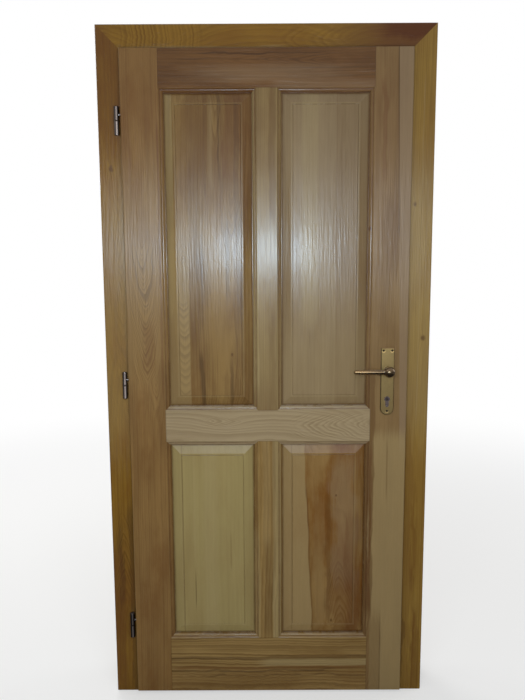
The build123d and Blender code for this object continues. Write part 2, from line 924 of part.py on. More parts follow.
# Hinges: the upper half is screwed to the leaf, the lower half and the pin to the frame
half_length = (hinge_length - hinge_seam) / 2
barrel_radius = hinge_barrel_diameter / 2
pin_radius = hinge_pin_diameter / 2
pin_half = hinge_pin_length / 2
for place, seam_z in hinge_heights.items():
    with BuildPart() as leaf_knuckle:
        rod((barrel_x, barrel_y, seam_z + hinge_seam / 2), (0, 0, 1), barrel_radius, half_length)
        fillet(leaf_knuckle.edges().group_by(Axis.Z)[-1], hinge_end_round)
        rod(
            (barrel_x, barrel_y, seam_z + hinge_stud_offset),
            (1, 0, 0),
            hinge_stud_diameter / 2,
            hinge_axis_offset + hinge_stud_in_leaf,
        )
        rod(
            (barrel_x, barrel_y, seam_z + hinge_seam / 2),
            (0, 0, 1),
            pin_radius + pin_play,
            pin_half + pin_end_gap,
            mode=Mode.SUBTRACT,
        )
    leaf_knuckle.part.label = f"leaf_knuckle_{place}"
    export_step(leaf_knuckle.part, f"parts/leaf_knuckle_{place}.step")

    with BuildPart() as frame_knuckle:
        rod((barrel_x, barrel_y, seam_z - hinge_seam / 2), (0, 0, -1), barrel_radius, half_length)
        fillet(frame_knuckle.edges().group_by(Axis.Z)[0], hinge_end_round)
        rod(
            (barrel_x, barrel_y, seam_z - hinge_stud_offset),
            (0, 1, 0),
            hinge_stud_diameter / 2,
            casing_front_y - barrel_y + hinge_stud_in_frame,
        )
        rod(
            (barrel_x, barrel_y, seam_z - hinge_seam / 2),
            (0, 0, -1),
            pin_radius + press_clearance,
            pin_half,
            mode=Mode.SUBTRACT,
        )
    frame_knuckle.part.label = f"frame_knuckle_{place}"
    export_step(frame_knuckle.part, f"parts/frame_knuckle_{place}.step")

with BuildPart() as hinge_pins:
    for seam_z in hinge_heights.values():
        rod((barrel_x, barrel_y, seam_z - pin_half), (0, 0, 1), pin_radius, hinge_pin_length)
hinge_pins.part.label = "hinge_pins"
export_step(hinge_pins.part, "parts/hinge_pins.step")

with BuildPart() as hinge_washers:
    for seam_z in hinge_heights.values():
        washer_base = (barrel_x, barrel_y, seam_z - hinge_seam / 2)
        rod(washer_base, (0, 0, 1), barrel_radius, hinge_washer_thickness)
        rod(
            washer_base,
            (0, 0, 1),
            pin_radius + pin_play,
            hinge_washer_thickness,
            mode=Mode.SUBTRACT,
        )
hinge_washers.part.label = "hinge_washers"
export_step(hinge_washers.part, "parts/hinge_washers.step")

# Mortise lock
case_front_inner_x = case_front_x - case_wall
case_back_inner_x = case_back_x + case_wall


def bolt_slots(x0, x1):
    """The slots for both bolts in the case and the forend."""
    for z in (handle_height, deadbolt_z):
        block(
            x0,
            x1,
            lock_y - bolt_slot_y,
            lock_y + bolt_slot_y,
            z - bolt_slot_half,
            z + bolt_slot_half,
            mode=Mode.SUBTRACT,
        )


def case_openings(y0, y1):
    """The holes for the follower and the cylinder in one wall of the case."""
    rod(
        (spindle_x, y0, handle_height),
        (0, 1, 0),
        follower_journal_radius,
        y1 - y0,
        mode=Mode.SUBTRACT,
    )
    keyhole(y0, y1, cylinder_clearance, Mode.SUBTRACT)


case_posts = (
    (guide_post_x, deadbolt_z, guide_post_radius),
    (spring_post[0], spring_post[1], spring_post_radius),
)
with BuildPart() as lock_case:
    block(
        case_back_x,
        case_front_x,
        lock_y - case_inner_half,
        lock_y + case_half,
        case_low_z,
        case_high_z,
    )
    block(
        case_back_inner_x,
        case_front_inner_x,
        lock_y - case_inner_half,
        lock_y + case_inner_half,
        case_low_z + case_wall,
        case_high_z - case_wall,
        mode=Mode.SUBTRACT,
    )
    for x, z, radius in case_posts:
        rod((x, lock_y + case_inner_half, z), (0, -1, 0), radius, 2 * case_inner_half)
        rod((x, lock_y - case_inner_half, z), (0, -1, 0), radius - case_wall / 2, case_wall)
    case_openings(lock_y + case_inner_half, lock_y + case_half)
    bolt_slots(case_front_inner_x, case_front_x)
    cylinder_fixing(screw_clearance, Mode.SUBTRACT)
lock_case.part.label = "lock_case"
export_step(lock_case.part, "parts/lock_case.step")

with BuildPart() as lock_cover:
    block(
        case_back_x,
        case_front_x,
        lock_y - case_half,
        lock_y - case_inner_half,
        case_low_z,
        case_high_z,
    )
    case_openings(lock_y - case_half, lock_y - case_inner_half)
    for x, z, radius in case_posts:
        rod(
            (x, lock_y - case_inner_half, z),
            (0, -1, 0),
            radius - case_wall / 2 + press_clearance,
            case_wall,
            mode=Mode.SUBTRACT,
        )
lock_cover.part.label = "lock_cover"
export_step(lock_cover.part, "parts/lock_cover.step")

with BuildPart() as forend:
    forend_outline()
    bolt_slots(case_front_x, body_x)
    forend_screw_set(screw_clearance, Mode.SUBTRACT)
    cylinder_fixing(screw_clearance, Mode.SUBTRACT)
forend.part.label = "forend"
export_step(forend.part, "parts/forend.step")

with BuildPart() as forend_screws:
    forend_screw_set()
forend_screws.part.label = "forend_screws"
export_step(forend_screws.part, "parts/forend_screws.step")

# Latch bolt, with a tail that hooks behind the follower's arm
latch_nose_x = body_x + latch_throw
latch_back_x = latch_nose_x - latch_throw - latch_head_length
hook_x = spindle_x - follower_arm_width / 2 - hook_play
hook_width = 5.0
hook_low_z = handle_height + 13.0
tail_low_z = handle_height + follower_arm_reach + 1.5
tail_high_z = tail_low_z + 6.0
riser_width = 6.0
bolt_half = bolt_thickness / 2
nose_land = 1.5
with BuildPart() as latch_bolt:
    with BuildSketch(Plane.XY.offset(handle_height - bolt_height / 2)):
        with BuildLine():
            Polyline(
                (latch_back_x, lock_y - bolt_half),
                (latch_nose_x, lock_y - bolt_half),
                (latch_nose_x, lock_y - bolt_half + nose_land),
                (body_x + nose_land, lock_y + bolt_half),
                (latch_back_x, lock_y + bolt_half),
                close=True,
            )
        make_face()
    extrude(amount=bolt_height)
    block(
        latch_back_x,
        latch_back_x + riser_width,
        lock_y - bolt_half,
        lock_y + bolt_half,
        handle_height,
        tail_high_z,
    )
    block(
        hook_x - hook_width,
        latch_back_x + riser_width,
        lock_y - bolt_half,
        lock_y + bolt_half,
        tail_low_z,
        tail_high_z,
    )
    block(
        hook_x - hook_width,
        hook_x,
        lock_y - bolt_half,
        lock_y + bolt_half,
        hook_low_z,
        tail_high_z,
    )
latch_bolt.part.label = "latch_bolt"
export_step(latch_bolt.part, "parts/latch_bolt.step")

# Latch spring: a coil between the hook and the back of the case
coil_radius = 3.0
coil_wire_radius = 0.5
coil_turns = 5
coil_z = (hook_low_z + tail_high_z) / 2
coil_start_x = case_back_inner_x + spring_clearance + coil_wire_radius
coil_end_x = hook_x - hook_width - spring_clearance - coil_wire_radius
with BuildPart() as latch_spring:
    with BuildLine() as coil_line:
        Helix(
            pitch=(coil_end_x - coil_start_x) / coil_turns,
            height=coil_end_x - coil_start_x,
            radius=coil_radius,
            center=(coil_start_x, lock_y, coil_z),
            direction=(1, 0, 0),
        )
    with BuildSketch(Plane(origin=coil_line.line @ 0, z_dir=coil_line.line % 0)):
        Circle(coil_wire_radius)
    sweep()
latch_spring.part.label = "latch_spring"
export_step(latch_spring.part, "parts/latch_spring.step")

# Deadbolt, with a slotted tail on the guide post
deadbolt_nose_x = body_x - bolt_clearance
deadbolt_back_x = deadbolt_nose_x - deadbolt_head_length
deadbolt_tail_x = case_back_inner_x + bolt_clearance
slot_half = guide_post_radius + bolt_clearance
with BuildPart() as deadbolt:
    block(
        deadbolt_back_x,
        deadbolt_nose_x,
        lock_y - bolt_half,
        lock_y + bolt_half,
        deadbolt_z - bolt_height / 2,
        deadbolt_z + bolt_height / 2,
    )
    block(
        deadbolt_tail_x,
        deadbolt_back_x,
        lock_y - deadbolt_tail_thickness / 2,
        lock_y + deadbolt_tail_thickness / 2,
        deadbolt_z - bolt_height / 2,
        deadbolt_z + bolt_height / 2,
    )
    block(
        guide_post_x - deadbolt_throw - slot_half,
        guide_post_x + slot_half,
        lock_y - deadbolt_tail_thickness / 2,
        lock_y + deadbolt_tail_thickness / 2,
        deadbolt_z - slot_half,
        deadbolt_z + slot_half,
        mode=Mode.SUBTRACT,
    )
deadbolt.part.label = "deadbolt"
export_step(deadbolt.part, "parts/deadbolt.step")

# Follower, turned by the square spindle
arm_half = follower_arm_width / 2
follower_half = case_inner_half - bolt_clearance
spindle_half = spindle_size / 2
with BuildPart() as follower:
    rod(
        (spindle_x, lock_y - follower_half, handle_height),
        (0, 1, 0),
        follower_radius,
        2 * follower_half,
    )
    rod(
        (spindle_x, lock_y - case_half, handle_height),
        (0, 1, 0),
        follower_journal_radius - journal_play,
        case_thickness,
    )
    block(
        spindle_x - arm_half,
        spindle_x + arm_half,
        lock_y - follower_half,
        lock_y + follower_half,
        handle_height - follower_foot_reach,
        handle_height + follower_arm_reach,
    )
    block(
        spindle_x - spindle_half - spindle_play,
        spindle_x + spindle_half + spindle_play,
        lock_y - case_half,
        lock_y + case_half,
        handle_height - spindle_half - spindle_play,
        handle_height + spindle_half + spindle_play,
        mode=Mode.SUBTRACT,
    )
follower.part.label = "follower"
export_step(follower.part, "parts/follower.step")

# Follower spring: a strip bent round its post, from the follower's foot to the case
strip_thickness = 0.8
strip_width = 8.0
strip_radius = spring_post_radius + press_clearance + strip_thickness / 2
with BuildPart() as follower_spring:
    with BuildSketch(
        Plane(
            origin=(spring_post[0], lock_y + strip_width / 2, spring_post[1]),
            x_dir=(1, 0, 0),
            z_dir=(0, -1, 0),
        )
    ):
        with BuildLine():
            bend = CenterArc((0, 0), strip_radius, 198, 92)
            PolarLine(bend @ 0, 16.5, direction=-(bend % 0))
            PolarLine(bend @ 1, 25.0, direction=bend % 1)
        trace(line_width=strip_thickness)
    extrude(amount=strip_width)
follower_spring.part.label = "follower_spring"
export_step(follower_spring.part, "parts/follower_spring.step")

# Profile cylinder
cylinder_front_y = lock_y - cylinder_front_half
cylinder_rear_y = lock_y + cylinder_rear_half
gap_half = cylinder_gap / 2
with BuildPart() as cylinder_housing:
    keyhole(cylinder_front_y, cylinder_rear_y)
    rod(
        (spindle_x, cylinder_front_y, cylinder_z),
        (0, 1, 0),
        plug_radius + plug_play,
        cylinder_front_half + cylinder_rear_half,
        mode=Mode.SUBTRACT,
    )
    block(
        spindle_x - cylinder_radius,
        spindle_x + cylinder_radius,
        lock_y - gap_half,
        lock_y + gap_half,
        cylinder_z - cylinder_bib_drop + cylinder_bridge,
        cylinder_z + cylinder_radius,
        mode=Mode.SUBTRACT,
    )
    cylinder_fixing(screw_clearance, Mode.SUBTRACT)
cylinder_housing.part.label = "cylinder_housing"
export_step(cylinder_housing.part, "parts/cylinder_housing.step")

with BuildPart() as cylinder_screw:
    cylinder_fixing()
cylinder_screw.part.label = "cylinder_screw"
export_step(cylinder_screw.part, "parts/cylinder_screw.step")

for name, mouth_y, inner_y, inward in (
    ("front_plug", cylinder_front_y, lock_y - gap_half, 1),
    ("rear_plug", cylinder_rear_y, lock_y + gap_half, -1),
):
    with BuildPart() as plug:
        rod(
            (spindle_x, mouth_y, cylinder_z),
            (0, inward, 0),
            plug_radius,
            abs(inner_y - mouth_y),
        )
        keyway_end_y = mouth_y + inward * min(keyway_depth, abs(inner_y - mouth_y) - keyway_width)
        block(
            spindle_x - keyway_width / 2,
            spindle_x + keyway_width / 2,
            min(mouth_y, keyway_end_y),
            max(mouth_y, keyway_end_y),
            cylinder_z - keyway_height / 2,
            cylinder_z + keyway_height / 2,
            mode=Mode.SUBTRACT,
        )
    plug.part.label = name
    export_step(plug.part, f"parts/{name}.step")

cam_half = gap_half - cam_play
with BuildPart() as cam:
    with BuildSketch(
        Plane(
            origin=(spindle_x, lock_y + cam_half, cylinder_z), x_dir=(1, 0, 0), z_dir=(0, -1, 0)
        )
    ):
        Circle(plug_radius)
        with BuildSketch(mode=Mode.PRIVATE) as cam_nose:
            between(-cam_width / 2, cam_width / 2, -cam_radius, 0)
            Circle(cam_radius, mode=Mode.INTERSECT)
        add(cam_nose.sketch.rotate(Axis.Z, -30))
    extrude(amount=2 * cam_half)
cam.part.label = "cam"
export_step(cam.part, "parts/cam.step")


# Plates and levers
def plate_outline(inset):
    """The plate's outline in the current sketch: square at the top and round at the bottom."""
    half = plate_width / 2 - inset
    top = plate_above_spindle - inset
    shoulder = plate_width / 2 - plate_below_spindle
    with BuildLine() as outline:
        FilletPolyline(
            (-half, shoulder),
            (-half, top),
            (half, top),
            (half, shoulder),
            radius=plate_corner_radius - inset,
        )
        ThreePointArc((-half, shoulder), (0, shoulder - half), (half, shoulder))
    make_face(outline.line)


def plate_holes(side):
    """The holes for the lever's bush, the cylinder and the screws."""
    outer_y = leaf_front_y - plate_depth if side < 0 else leaf_back_y
    rod(
        (spindle_x, outer_y, handle_height),
        (0, 1, 0),
        lever_neck_radius + bush_wall,
        plate_depth,
        mode=Mode.SUBTRACT,
    )
    keyhole(outer_y, outer_y + plate_depth, cylinder_clearance, Mode.SUBTRACT)
    plate_screws(side, screw_clearance, Mode.SUBTRACT)


for name, side in (("front_plate", -1), ("rear_plate", 1)):
    with BuildPart() as plate:
        with BuildSketch(face_plane(side)):
            plate_outline(0.0)
        extrude(amount=plate_depth)
        outer_face = plate.faces().sort_by(Axis.Y)[0 if side < 0 else -1]
        fillet(outer_face.edges(), plate_edge_round)
        with BuildSketch(face_plane(side)):
            plate_outline(plate_wall)
        extrude(amount=plate_depth - plate_wall, mode=Mode.SUBTRACT)
        plate_holes(side)
    plate.part.label = name
    export_step(plate.part, f"parts/{name}.step")

    with BuildPart() as screws:
        plate_screws(side)
    screws.part.label = f"{name}_screws"
    export_step(screws.part, f"parts/{name}_screws.step")

with BuildPart() as lever_bushes:
    for side in (-1, 1):
        inner_y = (leaf_front_y if side < 0 else leaf_back_y) + side * (
            plate_depth - plate_wall - bush_flange_thickness
        )
        outer_radius = lever_neck_radius + bush_wall
        rod(
            (spindle_x, inner_y, handle_height),
            (0, side, 0),
            outer_radius - press_clearance,
            bush_flange_thickness + plate_wall,
        )
        rod(
            (spindle_x, inner_y, handle_height),
            (0, side, 0),
            outer_radius + bush_flange,
            bush_flange_thickness,
        )
        rod(
            (spindle_x, inner_y, handle_height),
            (0, side, 0),
            lever_neck_radius + bush_play,
            bush_flange_thickness + plate_wall,
            mode=Mode.SUBTRACT,
        )
lever_bushes.part.label = "lever_bushes"
export_step(lever_bushes.part, "parts/lever_bushes.step")


def lever_axis_y(side):
    """The depth of the bar's axis, in front of or behind the leaf."""
    face_y = leaf_front_y if side < 0 else leaf_back_y
    return face_y + side * (plate_depth + lever_reach)


def lever_body(side):
    """The round hub that runs out into the bar, turned about the bar's own axis."""
    shoulder = radians(lever_hub_shoulder)
    hollow = (lever_hub_radius * sin(shoulder) - lever_bar_radius) / (1 - sin(shoulder))
    leave = (lever_hub_radius * cos(shoulder), lever_hub_radius * sin(shoulder))
    centre = (spindle_x, lever_axis_y(side), handle_height)
    with BuildSketch(Plane(origin=centre, x_dir=(-1, 0, 0), z_dir=(0, 0, 1))) as outline:
        with BuildLine():
            ThreePointArc((-lever_hub_radius, 0), (0, lever_hub_radius), leave)
            blend = JernArc(
                leave, (sin(shoulder), -cos(shoulder)), hollow, 90 - lever_hub_shoulder
            )
            tip_x = lever_length - lever_tip_radius
            Line(blend @ 1, (tip_x, lever_tip_radius))
            ThreePointArc(
                (tip_x, lever_tip_radius),
                (
                    tip_x + lever_tip_radius * cos(radians(45)),
                    lever_tip_radius * sin(radians(45)),
                ),
                (lever_length, 0),
            )
            Line((lever_length, 0), (-lever_hub_radius, 0))
        make_face()
    revolve(outline.sketch, axis=Axis(centre, (-1, 0, 0)))


def lever_neck(side):
    """The neck that runs in the bush, with a collar over the plate."""
    face_y = leaf_front_y if side < 0 else leaf_back_y
    start = (spindle_x, face_y + side * (plate_depth - plate_wall), handle_height)
    rod(start, (0, side, 0), lever_neck_radius, plate_wall + lever_reach)
    collar = (spindle_x, face_y + side * (plate_depth + collar_gap), handle_height)
    rod(collar, (0, side, 0), lever_collar_radius, lever_collar_height)


def lever_socket(side):
    """The square hole for the spindle and the grub screw's hole below it."""
    face_y = leaf_front_y if side < 0 else leaf_back_y
    ends = sorted((face_y, face_y + side * (plate_depth + lever_socket_depth)))
    half = spindle_half + spindle_play
    block(
        spindle_x - half,
        spindle_x + half,
        ends[0],
        ends[1],
        handle_height - half,
        handle_height + half,
        mode=Mode.SUBTRACT,
    )
    grub_screw(side, press_clearance, Mode.SUBTRACT)


def grub_screw(side, spare=0.0, mode=Mode.ADD):
    """The screw that clamps the lever to the spindle, from below."""
    face_y = leaf_front_y if side < 0 else leaf_back_y
    y = face_y + side * (
        plate_depth + collar_gap + lever_collar_height + 2 * grub_screw_radius
    )
    start_z = handle_height - spindle_half - spindle_play
    rod((spindle_x, y, start_z), (0, 0, -1), grub_screw_radius + spare, grub_screw_length, mode)


for name, side in (("front_lever", -1), ("rear_lever", 1)):
    with BuildPart() as lever:
        lever_body(side)
        lever_neck(side)
        lever_socket(side)
    lever.part.label = name
    export_step(lever.part, f"parts/{name}.step")

with BuildPart() as grub_screws:
    for side in (-1, 1):
        grub_screw(side)
grub_screws.part.label = "grub_screws"
export_step(grub_screws.part, "parts/grub_screws.step")

spindle_inset = 1.0
spindle_reach = plate_depth + lever_socket_depth - spindle_inset
with BuildPart() as spindle:
    block(
        spindle_x - spindle_half,
        spindle_x + spindle_half,
        leaf_front_y - spindle_reach,
        leaf_back_y + spindle_reach,
        handle_height - spindle_half,
        handle_height + spindle_half,
    )
spindle.part.label = "spindle"
export_step(spindle.part, "parts/spindle.step")
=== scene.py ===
"""Finish, fasteners and stage for a solid wood interior door with its frame."""

from functools import partialmethod
from math import cos, pi, radians, sin

import bmesh
import bpy
from mathutils import Matrix, Vector


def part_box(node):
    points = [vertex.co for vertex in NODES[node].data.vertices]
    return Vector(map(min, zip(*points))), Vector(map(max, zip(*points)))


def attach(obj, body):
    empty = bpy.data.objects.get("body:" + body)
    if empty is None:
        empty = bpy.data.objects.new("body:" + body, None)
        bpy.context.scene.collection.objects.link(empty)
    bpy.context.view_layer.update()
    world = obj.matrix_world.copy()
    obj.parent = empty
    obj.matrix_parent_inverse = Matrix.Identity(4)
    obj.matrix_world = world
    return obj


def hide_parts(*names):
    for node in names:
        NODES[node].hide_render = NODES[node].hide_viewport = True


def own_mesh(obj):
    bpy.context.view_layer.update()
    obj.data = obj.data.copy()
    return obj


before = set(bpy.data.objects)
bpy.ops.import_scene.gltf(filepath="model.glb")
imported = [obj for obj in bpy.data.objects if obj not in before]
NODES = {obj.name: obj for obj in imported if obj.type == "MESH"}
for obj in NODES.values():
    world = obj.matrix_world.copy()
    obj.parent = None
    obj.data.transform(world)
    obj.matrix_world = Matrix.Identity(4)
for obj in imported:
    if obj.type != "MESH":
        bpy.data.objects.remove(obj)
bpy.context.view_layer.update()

bl_info = {
    "name": "Panelled Wood Door",
    "version": (1, 0, 0),
    "blender": (4, 5, 0),
    "location": "View3D > Sidebar > Door",
    "description": "Wood, metal and fasteners for a four-panel interior door",
    "category": "Object",
}


def centre_of(name):
    """The middle of a CAD node's box."""
    low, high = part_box(name)
    return (Vector(low) + Vector(high)) / 2


# ---------------------------------------------------------------- node wiring


class Wiring:
    """Short calls for the nodes that the trees below repeat."""

    def __init__(self, tree):
        self.tree = tree

    def add(self, kind, inputs=None, **settings):
        node = self.tree.nodes.new(kind)
        for key, value in settings.items():
            setattr(node, key, value)
        for key, value in (inputs or {}).items():
            self.set(node.inputs[key], value)
        return node

    def set(self, socket, value):
        if isinstance(value, bpy.types.NodeSocket):
            self.tree.links.new(value, socket)
        else:
            socket.default_value = value

    def math(self, operation, *values, clamp=False):
        node = self.add("ShaderNodeMath", operation=operation, use_clamp=clamp)
        for socket, value in zip(node.inputs, values):
            self.set(socket, value)
        return node.outputs[0]

    plus = partialmethod(math, "ADD")
    minus = partialmethod(math, "SUBTRACT")
    times = partialmethod(math, "MULTIPLY")
    over = partialmethod(math, "DIVIDE")
    fused = partialmethod(math, "MULTIPLY_ADD")
    size = partialmethod(math, "ABSOLUTE")

    def vector(self, operation, *values):
        node = self.add("ShaderNodeVectorMath", operation=operation)
        for socket, value in zip(node.inputs, values):
            self.set(socket, value)
        return node.outputs["Value" if operation in ("LENGTH", "DISTANCE") else 0]

    def scaled(self, vector, factors):
        return self.vector("MULTIPLY", vector, factors)

    def grain(self, vector, across, along, detail=2.0, roughness=0.5, colour=False):
        """Noise drawn out along Z, as fibres are."""
        return self.noise(self.scaled(vector, (across, across, along)), 1.0, detail, roughness, colour)

    def noise(self, vector, scale=1.0, detail=2.0, roughness=0.5, colour=False):
        node = self.add(
            "ShaderNodeTexNoise",
            {"Vector": vector, "Scale": scale, "Detail": detail, "Roughness": roughness},
        )
        return node.outputs["Color" if colour else 0]

    def ramp(self, value, low, high, to_low=0.0, to_high=1.0, smooth=True):
        node = self.add(
            "ShaderNodeMapRange",
            interpolation_type="SMOOTHSTEP" if smooth else "LINEAR",
        )
        for socket, given in zip(node.inputs, (value, low, high, to_low, to_high)):
            self.set(socket, given)
        return node.outputs[0]

    def mix(self, factor, first, second, blend="MIX"):
        node = self.add("ShaderNodeMix", data_type="RGBA", blend_type=blend)
        for socket, value in zip(
            (node.inputs[0], node.inputs[6], node.inputs[7]), (factor, first, second)
        ):
            self.set(socket, value)
        return node.outputs[2]

    def combine(self, x, y, z):
        return self.add("ShaderNodeCombineXYZ", {0: x, 1: y, 2: z}).outputs[0]

    def split(self, vector):
        return self.add("ShaderNodeSeparateXYZ", {0: vector}).outputs


KINDS = {"value": "NodeSocketFloat", "vector": "NodeSocketVector", "colour": "NodeSocketColor"}


def group(name, inputs, outputs):
    """A new shader node group: its wiring, the sockets that it is given and those that it puts out."""
    tree = bpy.data.node_groups.new(name, "ShaderNodeTree")
    for label, kind, default in inputs:
        socket = tree.interface.new_socket(label, in_out="INPUT", socket_type=KINDS[kind])
        if default is not None:
            socket.default_value = default
    for label, kind in outputs:
        tree.interface.new_socket(label, in_out="OUTPUT", socket_type=KINDS[kind])
    w = Wiring(tree)
    source = w.add("NodeGroupInput").outputs
    sink = w.add("NodeGroupOutput").inputs
    return w, source, sink


def wood_figure_group():
    """Growth rings cut by the board's faces, with fibres, ripple and stain.

    The grain runs along Z, X goes across the face and Y into the board.
    """
    w, given, out = group(
        "Wood Figure",
        [
            ("Vector", "vector", None),
            ("Seed", "value", 0.0),
            ("Pith Across", "value", 0.0),
            ("Pith Depth", "value", 0.06),
            ("Ring Width", "value", 0.006),
            ("Taper", "value", 0.02),
            ("Wander", "value", 0.02),
            ("Ripple", "value", 0.0),
            ("Bend", "value", 0.0),
            ("Ring Strength", "value", 0.6),
            ("Fibre Strength", "value", 0.3),
            ("Stain Strength", "value", 0.4),
            ("Pale", "colour", (0.3, 0.2, 0.1, 1)),
            ("Dark", "colour", (0.15, 0.08, 0.03, 1)),
            ("Stain", "colour", (0.16, 0.08, 0.04, 1)),
        ],
        [("Color", "colour"), ("Roughness", "value"), ("Height", "value")],
    )
    shift = w.times(given["Seed"], 7.31)
    place = w.vector("ADD", given["Vector"], w.combine(0.0, shift, w.times(given["Seed"], 3.7)))
    x, y, z = w.split(given["Vector"])
    slow = w.split(w.grain(place, 5.0, 1.6, detail=2.0, colour=True))
    drift_x = w.times(w.minus(slow[0], 0.5), given["Wander"])
    drift_y = w.times(w.minus(slow[1], 0.5), given["Wander"])
    quick = w.split(w.grain(place, 22.0, 34.0, detail=1.5, colour=True))
    ripple = w.times(w.minus(quick[0], 0.5), given["Ripple"])
    from_x = w.plus(w.minus(x, given["Pith Across"]), drift_x)
    from_y = w.plus(w.minus(y, given["Pith Depth"]), drift_y)
    radius = w.math("SQRT", w.plus(w.times(from_x, from_x), w.times(from_y, from_y)))
    radius = w.plus(radius, w.times(z, given["Taper"]))
    radius = w.plus(w.plus(radius, ripple), given["Bend"])
    # Rings of uneven width: the count of rings is itself bent by a slow wave.
    count = w.over(radius, given["Ring Width"])
    uneven = w.add("ShaderNodeTexNoise", {"W": count, "Scale": 0.37, "Detail": 1.0}, noise_dimensions="1D")
    count = w.fused(uneven.outputs[0], 2.2, count)
    part = w.math("FRACT", count)
    late = w.minus(w.ramp(part, 0.25, 0.86), w.ramp(part, 0.90, 1.0))
    each = w.add("ShaderNodeTexWhiteNoise", {"W": w.math("FLOOR", count)}, noise_dimensions="1D")
    ring = w.times(late, w.ramp(each.outputs[0], 0.0, 1.0, 0.45, 1.0, smooth=False))
    ring = w.times(ring, given["Ring Strength"])
    # The fibres wander with the rings and swing out round a knot.
    swing = w.plus(w.fused(drift_x, 0.7, ripple), w.times(given["Bend"], 0.6))
    place = w.vector("ADD", place, w.combine(swing, 0.0, 0.0))
    fine = w.grain(place, 620.0, 9.0, detail=3.0, roughness=0.6)
    broad = w.grain(place, 58.0, 1.5, detail=3.5, roughness=0.6)
    middle = w.grain(place, 240.0, 5.0, detail=2.0, roughness=0.6)
    cloud = w.grain(place, 15.0, 2.6, detail=3.0, roughness=0.55)
    fibre = w.times(w.minus(broad, 0.5), 0.65)
    fibre = w.fused(w.minus(cloud, 0.5), 1.6, fibre)
    fibre = w.fused(w.minus(fine, 0.5), 0.30, fibre)
    fibre = w.fused(w.minus(middle, 0.5), 0.32, fibre)
    fibre = w.times(fibre, given["Fibre Strength"])
    tone = w.plus(w.plus(ring, fibre), 0.14, clamp=True)
    # Long soft streaks of darker wood between the rings.
    streak = w.grain(place, 70.0, 5.0, detail=2.5, roughness=0.62)
    where = w.ramp(w.grain(place, 16.0, 4.0, detail=2.0), 0.38, 0.62, 0.15, 1.0)
    streak = w.times(w.times(w.ramp(streak, 0.50, 0.68), where), given["Fibre Strength"], clamp=True)
    blot = w.grain(place, 10.0, 3.6, detail=4.5, roughness=0.62)
    blot = w.times(w.ramp(blot, 0.40, 0.68), w.times(given["Stain Strength"], 1.35), clamp=True)
    colour = w.mix(tone, given["Pale"], given["Dark"])
    colour = w.mix(blot, colour, given["Stain"])
    colour = w.mix(w.times(streak, 0.24), colour, given["Dark"])
    # Short dark pores that follow the fibres.
    pore = w.grain(place, 900.0, 26.0, detail=1.0)
    pore = w.ramp(pore, 0.66, 0.78)
    colour = w.mix(w.times(pore, 0.22), colour, given["Dark"])
    w.set(out["Color"], colour)
    rough = w.fused(ring, 0.04, w.fused(w.minus(broad, 0.5), 0.10, 0.24))
    w.set(out["Roughness"], w.fused(pore, 0.08, rough))
    rib = w.grain(place, 140.0, 8.0, detail=2.5, roughness=0.6)
    height = w.minus(w.fused(rib, 2.4, w.times(middle, 0.6)), w.times(ring, 0.4))
    w.set(out["Height"], w.minus(height, w.times(pore, 0.5)))


def wavy_band_group():
    """A strip along the grain with wandering edges, such as pale sapwood or a dark streak; some boards also use it for
    bands of painted sheen and shade.
    """
    w, given, out = group(
        "Wavy Band",
        [
            ("Vector", "vector", None),
            ("From", "value", 0.0),
            ("To", "value", 0.01),
            ("Start", "value", -9.0),
            ("End", "value", 9.0),
            ("Wave", "value", 0.01),
            ("Wave Rate", "value", 4.0),
            ("Lean", "value", 0.0),
            ("Softness", "value", 0.002),
            ("Fray", "value", 0.0),
            ("Fade", "value", 0.03),
        ],
        [("Mask", "value")],
    )
    x, _, z = w.split(given["Vector"])
    # The edges fray into short fibres, and so do the two ends.
    fray = w.minus(w.grain(given["Vector"], 170.0, 9.0, detail=2.5), 0.5)
    wave = w.noise(w.combine(given["From"], 0.0, w.times(z, given["Wave Rate"])), detail=3.0)
    across = w.fused(w.minus(wave, 0.5), given["Wave"], x)
    across = w.fused(z, given["Lean"], across)
    across = w.fused(fray, given["Fray"], across)
    along = w.fused(fray, w.times(given["Fade"], 2.0), z)
    soft, fade = given["Softness"], given["Fade"]

    def rise(value, edge, width):
        return w.ramp(value, w.minus(edge, width), w.plus(edge, width))

    mask = w.minus(rise(across, given["From"], soft), rise(across, given["To"], soft), clamp=True)
    ends = w.minus(rise(along, given["Start"], fade), rise(along, given["End"], fade), clamp=True)
    w.set(out["Mask"], w.times(mask, ends))


